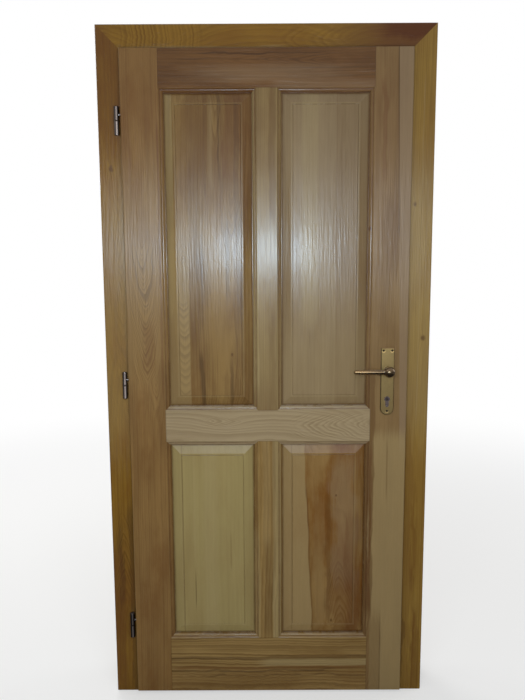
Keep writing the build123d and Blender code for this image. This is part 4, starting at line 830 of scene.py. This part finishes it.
def grain_vector(w, name, way):
    """Object coordinates turned so that the grain runs along Z and X goes across the face."""
    middle = centre_of(name)
    place = w.add("ShaderNodeTexCoord").outputs["Object"]
    mapping = w.add("ShaderNodeMapping", {"Vector": place}, vector_type="POINT")
    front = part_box(name)[0][1]
    if way == "up":
        mapping.inputs["Location"].default_value = (-middle.x, -front, 0)
    else:
        mapping.inputs["Location"].default_value = (-middle.z, -front, 0)
        mapping.inputs["Rotation"].default_value = (0, -pi / 2, 0)
        mapping.inputs["Scale"].default_value = (1, 1, -1)
    return mapping.outputs[0]


def wood_material(name, settings):
    """The lacquered wood of one board."""
    tone, way, figure_values = BOARDS[name]
    material, w, shader = new_material("wood_" + name)
    vector = grain_vector(w, name, way)

    def tinted(colour, factor=1.0):
        return tuple(c * settings.brightness * factor for c in colour) + (1,)

    pale, dark, stained = (tinted(colour) for colour in TONES[tone])
    bend, cores = 0.0, []
    for across, along, core, reach, lift, stretch in KNOTS.get(name, ()):
        knot = use_group(
            w, "Knot", Vector=vector, Across=across, Along=along, Core_Size=core, Reach=reach, Lift=lift, Stretch=stretch,
        )
        if core:
            cores.append(knot["Core"])
        bend = w.plus(bend, knot["Swelling"])
    figure = use_group(
        w, "Wood Figure", Vector=vector, Bend=bend, Pale=pale, Dark=dark, Stain=stained, **figure_values,
    )
    colour = figure["Color"]
    for across, half, low, high, pitch, point, strength in ARCHES.get(name, ()):
        arches = use_group(
            w, "Nested Arches", Vector=vector, Across=across, Half_Width=half, Start=low, End=high, Pitch=pitch, Point=point,
        )
        over = w.mix(arches["Line"], pale, dark)
        colour = w.mix(w.times(arches["Area"], strength), colour, over)
    for tint, strength, place in STRIPS.get(name, ()):
        mask = use_group(w, "Wavy Band", Vector=vector, **place)["Mask"]
        over = w.mix(0.74, colour, tinted(tint))
        colour = w.mix(w.times(mask, strength), colour, over)
    for core in cores:
        colour = w.mix(w.times(core, 0.65), colour, tinted(RED, 0.6))
    # Rails and mullions show a fine dark joint where their ends meet the next board.
    if "rail" in name or "mullion" in name:
        low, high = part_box(name)
        axis = 2 if way == "up" else 0
        off = w.size(w.minus(w.split(vector)[2], (low[axis] + high[axis]) / 2))
        half = (high[axis] - low[axis]) / 2
        joint = w.ramp(off, half - 0.0020, half - 0.0004)
        colour = w.mix(w.times(joint, 0.5), colour, tinted(DARK))
    # Each moulded profile gets painted shade in its hollow and at its foot, and a painted highlight along its crest.
    if name in PROFILES:
        shade = use_group(w, "Profile Shade", Vector=vector, **PROFILES[name])
        colour = w.mix(w.times(shade["Dark"], 0.55), colour, tinted(RED, 0.75))
        colour = w.mix(
            w.times(shade["Light"], 0.12 if name.startswith("panel") else 0.30), colour, tinted(BLOND, 1.1),
        )
    # The upper bevels of the lower panels are painted slightly darker as shade, and made rougher so that they mirror
    # less.
    rough = figure["Roughness"]
    if name.startswith("panel_lower"):
        up = w.ramp(w.split(w.add("ShaderNodeNewGeometry").outputs["True Normal"])[2], 0.10, 0.24)
        colour = w.mix(up, colour, (0.98, 0.96, 0.96, 1), blend="MULTIPLY")
        rough = w.fused(up, 0.22, rough)
    dust = use_group(w, "Settled Dust", Vector=vector, Amount=0.22)["Mask"]
    w.set(shader["Base Color"], w.mix(dust, colour, tuple(settings.dust_colour) + (1,)))
    w.set(shader["Roughness"], w.fused(dust, 0.3, rough, clamp=True))
    bump = w.add("ShaderNodeBump", {"Strength": 0.6, "Distance": settings.relief, "Height": figure["Height"]})
    w.set(shader["Normal"], bump.outputs[0])
    shader["Specular IOR Level"].default_value = 0.3
    shader["Coat Weight"].default_value = settings.lacquer
    shader["Coat Roughness"].default_value = settings.lacquer_roughness
    return material


class DOOR_OT_boards(bpy.types.Operator):
    """Gives every board of the leaf, the lining and the casings its own wood"""

    bl_idname = "door.boards"
    bl_label = "Wood Boards"

    def execute(self, context):
        settings = context.scene.door_wood
        for name in BOARDS:
            dress(name, wood_material(name, settings))
        return {"FINISHED"}


def plain_material(name, vector_scale, tones, roughness, bump, coat=0.0):
    """A mottled plain material, such as beech pegs or rubber."""
    material, w, shader = new_material(name)
    place = w.add("ShaderNodeTexCoord").outputs["Object"]
    patch = w.noise(w.scaled(place, vector_scale), detail=4.0, roughness=0.6)
    colour = w.mix(w.ramp(patch, 0.3, 0.7), tones[0] + (1,), tones[1] + (1,))
    dust = use_group(w, "Settled Dust", Vector=place, Amount=0.3)["Mask"]
    w.set(shader["Base Color"], w.mix(dust, colour, (0.45, 0.43, 0.40, 1)))
    w.set(shader["Roughness"], w.ramp(patch, 0.2, 0.8, roughness - 0.06, roughness + 0.06))
    w.set(
        shader["Normal"],
        w.add("ShaderNodeBump", {"Strength": 0.4, "Distance": bump, "Height": patch}).outputs[0],
    )
    shader["Coat Weight"].default_value = coat
    return material


class DOOR_OT_small_parts(bpy.types.Operator):
    """Finishes the pegs, biscuits and seals"""

    bl_idname = "door.small_parts"
    bl_label = "Pegs, Seals and Bushes"

    def execute(self, context):
        beech = plain_material(
            "beech", (90.0, 20.0, 90.0), ((0.50, 0.34, 0.19), (0.38, 0.24, 0.12)), 0.6, 0.0002,
        )
        rubber = plain_material(
            "seal_rubber", (60.0, 60.0, 60.0), ((0.10, 0.065, 0.040), (0.065, 0.042, 0.028)), 0.62, 0.0001,
        )
        for name in ("mitre_biscuits", "joint_dowels"):
            dress(name, beech)
        for name in ("seal_left", "seal_right", "seal_head"):
            dress(name, rubber)
        return {"FINISHED"}


# ---------------------------------------------------------------- metal

# Where the screws of a long plate sit, from the spindle's centre.
PLATE_SCREWS = ((-0.013, 0.059), (0.013, 0.059), (0.0, -0.127))
HINGE_LEVELS = ("bottom", "middle", "top")

def darker(colour, factor):
    return tuple(c * factor for c in colour)


def metal_material(name, clean, tarnished, tarnish, polish, brushing, coat=0.0, painted_shade=None, painted_highlight=None):
    """A metal finish with brushing along one axis; it may take a mask of painted shade along its edges,
    and one of painted highlights."""
    material, w, shader = new_material(name)
    place = w.add("ShaderNodeTexCoord").outputs["Object"]
    finish = use_group(
        w, "Worn Metal", Vector=place, Brushing=brushing, Clean=tuple(clean) + (1,),
        Tarnished=tuple(tarnished) + (1,), Tarnish=tarnish, Polish=polish,
    )
    dust = use_group(w, "Settled Dust", Vector=place, Amount=0.15)["Mask"]
    colour = finish["Color"]
    # Painted highlights brighten the colour, and painted shade darkens the edges.
    if painted_highlight:
        colour = w.mix(painted_highlight(w, place), colour, tuple(min(c * 2.4, 0.95) for c in clean) + (1,))
    if painted_shade:
        colour = w.mix(painted_shade(w, place), colour, darker(tarnished, 0.16) + (1,))
    w.set(shader["Base Color"], w.mix(dust, colour, (0.45, 0.43, 0.40, 1)))
    w.set(shader["Metallic"], w.minus(1.0, dust))
    w.set(shader["Roughness"], w.fused(dust, 0.3, finish["Roughness"], clamp=True))
    bump = w.add("ShaderNodeBump", {"Strength": 0.25, "Distance": 0.00004, "Height": finish["Height"]})
    w.set(shader["Normal"], bump.outputs[0])
    shader["Coat Weight"].default_value = coat
    shader["Coat Roughness"].default_value = 0.1
    return material


def plate_rim_painted_shade(w, place):
    """Mask of the painted shade along a long plate's edge, which turns away from the light, most of all on the left.
    """
    low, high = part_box("front_plate")
    radius = (high[0] - low[0]) / 2
    x, _, z = w.split(place)
    across = w.minus(x, low[0] + radius)
    below = w.math("MINIMUM", w.minus(z, low[2] + radius), 0.0)
    off = w.vector("LENGTH", w.combine(across, 0.0, below))
    edge = w.ramp(off, radius - 0.0026, radius - 0.0004)
    return w.times(edge, w.ramp(across, -radius, radius * 0.8, 0.95, 0.25))


def knuckle_painted_reflection(w, place):
    """Mask that paints a reflection on a knuckle: its two sides, its arm and the seam are painted nearly black as
    shade and dark reflection, so that only its front shows the bright metal.
    """
    aside, ahead, _ = w.split(w.add("ShaderNodeNewGeometry").outputs["True Normal"])
    front = w.fused(ahead, -0.99, w.times(aside, 0.12))
    sides = w.ramp(w.size(front), 0.93, 0.99, 0.98, 0.0)
    x, _, z = w.split(place)
    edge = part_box("frame_knuckle_top")[1][0]
    dark = w.math("MAXIMUM", sides, w.ramp(x, edge, edge + 0.001, 0.0, 0.92))
    for level in HINGE_LEVELS:
        off_seam = w.size(w.minus(z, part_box("frame_knuckle_" + level)[1][2] + 0.0005))
        dark = w.math("MAXIMUM", dark, w.ramp(off_seam, 0.0014, 0.0026, 0.96, 0.0))
    return dark


def countersink_painted_highlights(w, place):
    """Mask of a painted highlight on the lower lip round each screw of a long plate."""
    middle = centre_of("spindle")
    x, _, z = w.split(place)
    total = 0.0
    for aside, up in PLATE_SCREWS:
        dx, dz = w.minus(x, middle.x + aside), w.minus(z, middle.z + up)
        ring = w.size(w.minus(w.vector("LENGTH", w.combine(dx, 0.0, dz)), 0.0046))
        lip = w.times(w.ramp(ring, 0.0008, 0.0022, 1.0, 0.0), w.ramp(dz, -0.0026, -0.0008, 1.0, 0.0))
        total = w.plus(total, lip, clamp=True)
    return total


def lever_painted_highlight(w, place):
    """Mask of a painted highlight that grows from a lever's hub to its tip."""
    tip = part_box("front_lever")[0][0]
    return w.ramp(w.split(place)[0], tip + 0.012, tip + 0.095, 0.75, 0.0)


class DOOR_OT_hinges(bpy.types.Operator):
    """Finishes the three hinges in nickel"""

    bl_idname = "door.hinges"
    bl_label = "Hinges"

    def execute(self, context):
        metal = context.scene.door_metal
        # Both hinge finishes paint a reflection: the sides, arm and seam of each knuckle are painted nearly black
        # round its bright front.
        sides = dict(polish=0.13, brushing=(40.0, 40.0, 20.0), painted_shade=knuckle_painted_reflection)
        nickel = metal_material("hinge_nickel", metal.nickel, darker(metal.nickel, 0.7), 0.35, **sides)
        dull = metal_material(
            "hinge_dull", darker(metal.nickel, 0.75), darker(metal.nickel, 0.5), 0.45, **sides,
        )
        brass = metal_material(
            "washer_brass", darker(metal.brass, 0.3), darker(metal.brass, 0.15), 0.5, 0.3,
            (300.0, 300.0, 300.0),
        )
        for level in HINGE_LEVELS:
            dress("frame_knuckle_" + level, nickel)
            dress("leaf_knuckle_" + level, nickel if level == "middle" else dull)
        dress("hinge_pins", dull)
        dress("hinge_washers", brass)
        return {"FINISHED"}


def coil_piece(name, low, high, wire, turns):
    """A compression spring along X that fills a box, with its end turns closed."""
    radius = (high[2] - low[2]) / 2 - wire
    middle = Vector((0, (low[1] + high[1]) / 2, (low[2] + high[2]) / 2))
    steps, sides = turns * 32, 10
    start, stop = low[0] + wire, high[0] - wire
    close = 1.0 / turns
    lead = 2.1 * wire
    form = bmesh.new()
    rings = []
    for i in range(steps + 1):
        share = i / steps
        if share < close:
            x = start + lead * share / close
        elif share > 1 - close:
            x = stop - lead * (1 - share) / close
        else:
            x = start + lead + (stop - start - 2 * lead) * (share - close) / (1 - 2 * close)
        angle = 2 * pi * turns * share
        out = Vector((0, cos(angle), sin(angle)))
        rings.append([
            form.verts.new(
                middle + Vector((x, 0, 0)) + out * (radius + wire * cos(b)) + Vector((wire * sin(b), 0, 0))
            )
            for b in (2 * pi * k / sides for k in range(sides))
        ])
    for first, second in zip(rings, rings[1:]):
        for k in range(sides):
            form.faces.new((first[k], first[k - 1], second[k - 1], second[k]))
    form.faces.new(rings[0])
    form.faces.new(list(reversed(rings[-1])))
    bmesh.ops.recalc_face_normals(form, faces=form.faces)
    mesh = bpy.data.meshes.new(name)
    form.to_mesh(mesh)
    form.free()
    mesh.shade_smooth()
    piece = bpy.data.objects.new(name, mesh)
    bpy.context.scene.collection.objects.link(piece)
    return piece


class DOOR_OT_lock(bpy.types.Operator):
    """Finishes the lock case, its bolts and springs, the forend, the strike and the cylinder"""

    bl_idname = "door.lock"
    bl_label = "Lock and Strike"

    def execute(self, context):
        metal = context.scene.door_metal
        zinc = metal_material(
            "zinc_steel", metal.steel, darker(metal.steel, 0.5), 0.6, 0.38, (60.0, 60.0, 900.0),
        )
        nickel = metal_material(
            "lock_nickel", metal.chrome, darker(metal.chrome, 0.5), 0.4, 0.2, (60.0, 700.0, 60.0),
        )
        # The plugs are painted dark, as shade in the keyway.
        plug = metal_material(
            "plug_nickel", darker(metal.chrome, 0.30), darker(metal.chrome, 0.1), 0.5, 0.25,
            (300.0, 300.0, 300.0),
        )
        spring = metal_material(
            "spring_steel", darker(metal.steel, 0.7), darker(metal.steel, 0.3), 0.5, 0.3, (600.0, 600.0, 600.0),
        )
        for name in ("strike_plate", "lock_case", "lock_cover", "forend", "follower", "spindle"):
            dress(name, zinc)
        body = metal_material(
            "cylinder_nickel", darker(metal.chrome, 0.5), darker(metal.chrome, 0.2), 0.5, 0.22,
            (300.0, 300.0, 300.0),
        )
        for name in ("latch_bolt", "deadbolt"):
            dress(name, nickel)
        dress("cylinder_housing", body)
        for name in ("front_plug", "rear_plug", "cam"):
            dress(name, plug)
        dress("follower_spring", spring)
        # A coil with closed end turns takes the place of the latch spring, in the same box.
        low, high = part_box("latch_spring")
        coil = coil_piece("latch_coil", low, high, wire=0.0005, turns=6)
        coil.data.materials.append(spring)
        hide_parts("latch_spring")
        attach(coil, "leaf")
        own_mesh(coil)
        return {"FINISHED"}


class DOOR_OT_handles(bpy.types.Operator):
    """Finishes the levers, their bushes and the long plates in brass"""

    bl_idname = "door.handles"
    bl_label = "Levers and Plates"

    def execute(self, context):
        metal = context.scene.door_metal
        # The lever gets a painted highlight towards its tip; the plates get painted shade along their edges and
        # painted highlights below their screws.
        brass = metal_material(
            "lever_brass", metal.brass, darker(metal.brass, 0.5), 0.5, 0.24, (30.0, 120.0, 120.0), coat=0.8,
            painted_highlight=lever_painted_highlight,
        )
        plate = metal_material(
            "plate_brass", metal.plate, darker(metal.plate, 0.7), 0.4, 0.38, (60.0, 60.0, 700.0), painted_shade=plate_rim_painted_shade,
            painted_highlight=countersink_painted_highlights,
        )
        bush = metal_material(
            "bush_brass", metal.brass, darker(metal.brass, 0.5), 0.5, 0.24, (120.0, 120.0, 120.0), coat=0.8,
        )
        for name in ("front_lever", "rear_lever"):
            dress(name, brass)
        dress("lever_bushes", bush)
        for name in ("front_plate", "rear_plate"):
            dress(name, plate)
        return {"FINISHED"}


# ---------------------------------------------------------------- screws


def screw_tree():
    """Geometry Nodes: one cross-recessed countersunk screw on each point, along its axis attribute."""
    tree = bpy.data.node_groups.new("Countersunk Screws", "GeometryNodeTree")
    face = tree.interface
    face.new_socket("Places", in_out="INPUT", socket_type="NodeSocketGeometry")
    for label, default in (
        ("Radius", 0.00175), ("Length", 0.02), ("Recess Width", 0.3), ("Thread Pitch", 0.0016),
    ):
        face.new_socket(label, in_out="INPUT", socket_type="NodeSocketFloat").default_value = default
    face.new_socket("Seed", in_out="INPUT", socket_type="NodeSocketInt").default_value = 5
    face.new_socket("Finish", in_out="INPUT", socket_type="NodeSocketMaterial")
    face.new_socket("Screws", in_out="OUTPUT", socket_type="NodeSocketGeometry")
    w = Wiring(tree)
    given = w.add("NodeGroupInput").outputs
    sink = w.add("NodeGroupOutput").inputs
    radius, length = given["Radius"], given["Length"]

    # The screw stands on its head: the head's face is at the origin and the tip is up Z.
    def moved(geometry, z):
        node = w.add("GeometryNodeTransform", {"Geometry": geometry, "Translation": w.combine(0.0, 0.0, z)})
        return node.outputs[0]

    times = w.times
    core = times(radius, 0.78)
    head = w.add(
        "GeometryNodeMeshCone",
        {
            "Vertices": 24, "Radius Top": core, "Radius Bottom": times(radius, 1.94),
            "Depth": times(radius, 1.25),
        },
    ).outputs["Mesh"]
    slot_depth = times(radius, 0.9)
    slot = w.combine(times(radius, 2.3), times(times(radius, 1.6), given["Recess Width"]), slot_depth)
    bar = w.add("GeometryNodeMeshCube", {"Size": slot}).outputs["Mesh"]
    turned = w.add("GeometryNodeTransform", {"Geometry": bar, "Rotation": (0, 0, pi / 2)}).outputs[0]
    cut = w.add("GeometryNodeMeshBoolean", operation="DIFFERENCE", solver="EXACT")
    w.set(cut.inputs["Mesh 1"], head)
    w.set(cut.inputs["Mesh 2"], bar)
    w.set(cut.inputs["Mesh 2"], turned)
    shank_length = w.minus(length, times(radius, 3.4))
    shank = w.add(
        "GeometryNodeMeshCylinder",
        {"Vertices": 16, "Radius": core, "Depth": shank_length},
    ).outputs["Mesh"]
    shank = moved(shank, w.fused(shank_length, 0.5, times(radius, 1.1)))
    tip = w.add(
        "GeometryNodeMeshCone",
        {"Vertices": 16, "Radius Top": times(radius, 0.06), "Radius Bottom": core, "Depth": times(radius, 2.2)},
    ).outputs["Mesh"]
    tip = moved(tip, w.minus(length, times(radius, 2.3)))
    turns = w.over(w.times(shank_length, 0.72), given["Thread Pitch"])
    thread = w.add(
        "GeometryNodeCurveSpiral",
        {"Resolution": 14, "Rotations": turns, "Start Radius": times(radius, 0.86),
         "End Radius": times(radius, 0.84), "Height": w.times(shank_length, 0.72)},
    ).outputs["Curve"]
    profile = w.add("GeometryNodeCurvePrimitiveCircle", {"Resolution": 3, "Radius": times(radius, 0.15)}).outputs["Curve"]
    thread = w.add(
        "GeometryNodeCurveToMesh", {"Curve": thread, "Profile Curve": profile, "Fill Caps": True},
    ).outputs[0]
    thread = moved(thread, w.minus(w.minus(length, times(radius, 2.4)), w.times(shank_length, 0.72)))
    join = w.add("GeometryNodeJoinGeometry")
    for piece in (cut.outputs["Mesh"], shank, tip, thread):
        w.set(join.inputs[0], piece)
    axis = w.add("GeometryNodeInputNamedAttribute", {"Name": "axis"}, data_type="FLOAT_VECTOR").outputs["Attribute"]
    aim = w.add("FunctionNodeAlignEulerToVector", {"Vector": axis}, axis="Z").outputs[0]
    spin = w.add("FunctionNodeRandomValue", {"Seed": given["Seed"]}, data_type="FLOAT")
    spin.inputs[2].default_value = 0.0
    spin.inputs[3].default_value = pi
    turn = w.add(
        "FunctionNodeRotateEuler", {"Rotation": w.combine(0.0, 0.0, spin.outputs[1]), "Rotate By": aim},
        rotation_type="EULER", space="OBJECT",
    )
    put = w.add(
        "GeometryNodeInstanceOnPoints",
        {"Points": given["Places"], "Instance": join.outputs[0], "Rotation": turn.outputs[0]},
    )
    real = w.add("GeometryNodeRealizeInstances", {"Geometry": put.outputs[0]})
    final = w.add("GeometryNodeSetMaterial", {"Geometry": real.outputs[0], "Material": given["Finish"]})
    w.set(sink[0], final.outputs[0])
    return tree


def input_id(tree, label):
    for item in tree.interface.items_tree:
        if item.item_type == "SOCKET" and item.in_out == "INPUT" and item.name == label:
            return item.identifier
    raise KeyError(label)


def baked(name, seeds, tree, values):
    """Runs a Geometry Nodes tree on a small mesh and gives back one plain object."""
    holder = bpy.data.objects.new(name + "_places", seeds)
    bpy.context.scene.collection.objects.link(holder)
    modifier = holder.modifiers.new("Places", "NODES")
    modifier.node_group = tree
    for label, value in values.items():
        modifier[input_id(tree, label)] = value
    bpy.context.view_layer.update()
    evaluated = holder.evaluated_get(bpy.context.evaluated_depsgraph_get())
    mesh = bpy.data.meshes.new_from_object(evaluated)
    holder.modifiers.clear()
    bpy.data.objects.remove(holder)
    mesh.name = name
    piece = bpy.data.objects.new(name, mesh)
    bpy.context.scene.collection.objects.link(piece)
    if not mesh.polygons:
        raise RuntimeError(name + " came out empty")
    return piece


def points_mesh(name, places, axes):
    """A mesh of single points, each with the direction its screw is driven in."""
    mesh = bpy.data.meshes.new(name)
    mesh.from_pydata(places, [], [])
    axis = mesh.attributes.new("axis", "FLOAT_VECTOR", "POINT")
    for i, direction in enumerate(axes):
        axis.data[i].vector = direction
    return mesh


class DOOR_OT_screws(bpy.types.Operator):
    """Puts a cross-recessed, threaded screw at each place that the CAD model has one"""

    bl_idname = "door.screws"
    bl_label = "Screws"

    def execute(self, context):
        settings, metal = context.scene.door_screws, context.scene.door_metal
        steel = metal_material(
            "screw_steel", metal.steel, darker(metal.steel, 0.5), 0.5, 0.3, (400.0, 400.0, 400.0),
        )
        brass = metal_material(
            "screw_brass", darker(metal.brass, 0.6), darker(metal.brass, 0.2), 0.5, 0.2, (100.0, 100.0, 100.0),
            coat=0.8,
        )
        tree = screw_tree()
        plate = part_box("front_plate")
        spindle = centre_of("spindle")
        corners = [(spindle.x + aside, up) for aside, up in PLATE_SCREWS]
        forend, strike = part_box("forend_screws"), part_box("strike_plate_screws")
        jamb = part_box("jamb_corner_screws")
        front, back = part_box("front_plate_screws"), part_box("rear_plate_screws")
        sets = {
            "forend_screws": ("leaf", 0.002, steel, [
                ((forend[1][0], (forend[0][1] + forend[1][1]) / 2, z), (-1, 0, 0))
                for z in (forend[0][2] + 0.004, forend[1][2] - 0.004)
            ], forend[1][0] - forend[0][0]),
            "strike_plate_screws": ("frame", 0.002, steel, [
                ((strike[0][0], (strike[0][1] + strike[1][1]) / 2, z), (1, 0, 0))
                for z in (strike[0][2] + 0.004, strike[1][2] - 0.004)
            ], strike[1][0] - strike[0][0]),
            "jamb_corner_screws": ("frame", 0.003, steel, [
                ((side * jamb[1][0], y, (jamb[0][2] + jamb[1][2]) / 2), (-side, 0, 0))
                for side in (-1, 1) for y in (jamb[0][1] + 0.006, jamb[1][1] - 0.006)
            ], 0.060),
            "front_plate_screws": ("leaf", 0.00175, brass, [
                ((x, front[0][1], spindle.z + up), (0, 1, 0)) for x, up in corners
            ], front[1][1] - front[0][1]),
            "rear_plate_screws": ("leaf", 0.00175, brass, [
                ((x, back[1][1], spindle.z + up), (0, -1, 0)) for x, up in corners
            ], back[1][1] - back[0][1]),
        }
        for number, (name, (body, radius, finish, places, length)) in enumerate(sets.items()):
            seeds = points_mesh(name + "_points", [p for p, _ in places], [a for _, a in places])
            piece = baked("set_of_" + name, seeds, tree, {
                "Radius": radius, "Length": length, "Recess Width": settings.recess_width,
                "Thread Pitch": settings.thread_pitch, "Seed": number + 3, "Finish": finish,
            })
            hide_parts(name)
            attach(piece, body)
        for name in ("cylinder_screw", "grub_screws"):
            dress(name, steel)
        return {"FINISHED"}


# ---------------------------------------------------------------- stage


def area_light(name, place, target, size, power, colour, gloss=True, diffuse=True):
    """A soft lamp that the camera doesn't see; it may light only gloss, or all but gloss."""
    data = bpy.data.lights.new(name, "AREA")
    data.shape = "RECTANGLE"
    data.size, data.size_y = size
    data.energy = power
    data.color = colour
    lamp = bpy.data.objects.new(name, data)
    bpy.context.scene.collection.objects.link(lamp)
    lamp.location = place
    lamp.rotation_euler = (Vector(target) - Vector(place)).to_track_quat("-Z", "Y").to_euler()
    lamp.visible_camera = False
    lamp.visible_glossy = gloss
    lamp.visible_diffuse = diffuse
    return lamp


class DOOR_OT_stage(bpy.types.Operator):
    """Sets the floor, the surround, the soft lights and the camera"""

    bl_idname = "door.stage"
    bl_label = "Stage"

    def execute(self, context):
        scene, settings = context.scene, context.scene.door_stage
        scene.view_settings.view_transform = "Standard"

        # The floor fades into the surround, so that no horizon shows behind the door.
        mesh = bpy.data.meshes.new("floor")
        form = bmesh.new()
        bmesh.ops.create_circle(form, cap_ends=True, segments=96, radius=6.0)
        form.to_mesh(mesh)
        form.free()
        floor = bpy.data.objects.new("floor", mesh)
        scene.collection.objects.link(floor)
        floor.location = (0, 0, -0.0005)
        material, w, shader = new_material("floor")
        place = w.add("ShaderNodeTexCoord").outputs["Object"]
        cloud = w.noise(place, 2.0, 3.0)
        w.set(
            shader["Base Color"],
            w.mix(w.times(cloud, 0.06), tuple(settings.floor_colour) + (1,), (0.70, 0.70, 0.69, 1)),
        )
        shader["Roughness"].default_value = 0.75
        shader["Specular IOR Level"].default_value = 0.2
        tree = w.tree
        glow = w.add("ShaderNodeEmission", {"Color": (1, 1, 1, 1), "Strength": 1.0})
        path = w.add("ShaderNodeLightPath").outputs
        far = w.ramp(w.vector("LENGTH", place), 1.0, 4.2, 0.5, 1.0)
        # Lacquer and metal mirror a dark floor near the door, as in the photograph's room, and
        # the bright far wall beyond it.
        beyond = w.ramp(w.vector("LENGTH", place), 2.0, 4.8, 0.02, 0.42)
        dim = w.add("ShaderNodeEmission", {"Color": (1, 1, 1, 1), "Strength": beyond})
        mirrored = w.add("ShaderNodeMixShader", {0: w.times(path["Is Glossy Ray"], 0.9)})
        tree.links.new(shader["Base Color"].node.outputs[0], mirrored.inputs[1])
        tree.links.new(dim.outputs[0], mirrored.inputs[2])
        blend = w.add("ShaderNodeMixShader", {0: w.times(far, path["Is Camera Ray"])})
        tree.links.new(mirrored.outputs[0], blend.inputs[1])
        tree.links.new(glow.outputs[0], blend.inputs[2])
        output = next(n for n in tree.nodes if n.type == "OUTPUT_MATERIAL")
        tree.links.new(blend.outputs[0], output.inputs["Surface"])
        mesh.materials.append(material)

        world = bpy.data.worlds.new("surround")
        scene.world = world
        world.use_nodes = True
        world.node_tree.nodes.clear()
        w = Wiring(world.node_tree)
        path = w.add("ShaderNodeLightPath").outputs
        # The camera sees white all round. Gloss sees that white above, and a dimmer room towards
        # the horizon, so that metal and lacquer keep their depth.
        aim = w.split(w.add("ShaderNodeTexCoord").outputs["Generated"])[2]
        mirrored = w.math("MAXIMUM", path["Is Glossy Ray"], path["Is Transmission Ray"])
        room = w.plus(w.ramp(aim, -0.04, 0.10, 0.10, 0.45), w.ramp(aim, 0.25, 0.8, 0.0, 0.45))
        strength = w.ramp(mirrored, 0.0, 1.0, settings.sky, room, smooth=False)
        strength = w.ramp(path["Is Camera Ray"], 0.0, 1.0, strength, 1.0, smooth=False)
        back = w.add("ShaderNodeBackground", {"Color": (1, 1, 1, 1), "Strength": strength})
        world.node_tree.links.new(back.outputs[0], w.add("ShaderNodeOutputWorld").inputs[0])

        area_light(
            "window_light", (0.01, -1.30, 1.40), (0.01, 0, 1.38), (0.58, 0.30), settings.window_power,
            (0.93, 0.97, 1.0), gloss=False,
        )
        blue = (0.60, 0.81, 1.0)
        area_light(
            "pane_right", (-0.02, -1.30, 1.385), (-0.02, 0, 1.36), (0.42, 0.14), settings.glare, blue,
            diffuse=False,
        )
        area_light(
            "pane_left", (-0.52, -1.30, 1.40), (-0.36, 0, 1.36), (0.50, 0.16), settings.glare * 0.22, blue,
            diffuse=False,
        )
        area_light(
            "left_light", (-1.6, -0.8, 2.5), (0.2, 0, 1.1), (0.5, 0.5), settings.left_power, (1.0, 0.98, 0.95),
        )
        area_light(
            "back_light", (-1.3, 2.6, 2.3), (0, 0.1, 1.0), (1.6, 1.6), settings.back_power, (1.0, 0.99, 0.97),
        )
        for side, name in ((-1, "flank_light_left"), (1, "flank_light_right")):
            area_light(
                name, (side * 2.4, 0.9, 1.7), (side * 0.45, 0.05, 1.0), (1.4, 1.4), settings.flank_power,
                (1.0, 0.99, 0.97),
            )
        area_light(
            "wall_light", (0.0, -2.46, 1.44), (0.0, 0, 1.44), (2.0, 0.7), settings.wall_power,
            (0.86, 0.94, 1.0),
        )
        area_light(
            "top_light", (0.9, -2.2, 3.0), (0.05, 0, 1.1), (1.2, 1.2), settings.side_power, (1.0, 0.98, 0.95),
            gloss=False,
        )

        camera_data = bpy.data.cameras.new("camera")
        camera_data.sensor_fit = "VERTICAL"
        camera_data.sensor_height = 36.0
        camera_data.lens = settings.lens
        camera = bpy.data.objects.new("camera", camera_data)
        scene.collection.objects.link(camera)
        tilt, turn, roll = settings.camera_tilt, settings.camera_turn, settings.camera_roll
        ahead = Vector((sin(turn) * cos(tilt), cos(turn) * cos(tilt), -sin(tilt)))
        right = Vector((cos(turn), -sin(turn), 0))
        up = right.cross(ahead)
        right, up = right * cos(roll) - up * sin(roll), up * cos(roll) + right * sin(roll)
        axes = Matrix((right, up, -ahead)).transposed()
        camera.matrix_world = Matrix.Translation(settings.camera_place) @ axes.to_4x4()
        scene.camera = camera
        return {"FINISHED"}


class DOOR_PT_panel(bpy.types.Panel):
    """The steps that finish the door"""

    bl_label = "Wood Door"
    bl_idname = "DOOR_PT_panel"
    bl_space_type = "VIEW_3D"
    bl_region_type = "UI"
    bl_category = "Door"

    def draw(self, context):
        for operator in OPERATORS:
            self.layout.operator(operator.bl_idname, text=operator.bl_label)
        for group_name, label in (
            ("door_wood", "Wood"), ("door_metal", "Metal"), ("door_screws", "Screws"), ("door_stage", "Stage"),
        ):
            box = self.layout.box()
            box.label(text=label)
            settings = getattr(context.scene, group_name)
            for key in settings.__annotations__:
                box.prop(settings, key)


OPERATORS = (
    DOOR_OT_boards, DOOR_OT_small_parts, DOOR_OT_hinges, DOOR_OT_lock, DOOR_OT_handles, DOOR_OT_screws,
    DOOR_OT_stage,
)
SETTINGS = {
    "door_wood": DoorWoodSettings,
    "door_metal": DoorMetalSettings,
    "door_screws": DoorScrewSettings,
    "door_stage": DoorStageSettings,
}


def register():
    for cls in (*SETTINGS.values(), *OPERATORS, DOOR_PT_panel):
        bpy.utils.register_class(cls)
    for key, cls in SETTINGS.items():
        setattr(bpy.types.Scene, key, bpy.props.PointerProperty(type=cls))


def unregister():
    for key in SETTINGS:
        delattr(bpy.types.Scene, key)
    for cls in (DOOR_PT_panel, *reversed(OPERATORS), *reversed(tuple(SETTINGS.values()))):
        bpy.utils.unregister_class(cls)


GROUP_BUILDERS = (
    wood_figure_group, wavy_band_group, knot_group, nested_arches_group, worn_metal_group, dust_group, profile_shade_group,
)


def main():
    register()
    for build_group in GROUP_BUILDERS:
        build_group()
    bpy.ops.door.boards()
    bpy.ops.door.small_parts()
    bpy.ops.door.hinges()
    bpy.ops.door.lock()
    bpy.ops.door.handles()
    bpy.ops.door.screws()
    bpy.ops.door.stage()


if __name__ == "__main__":
    main()
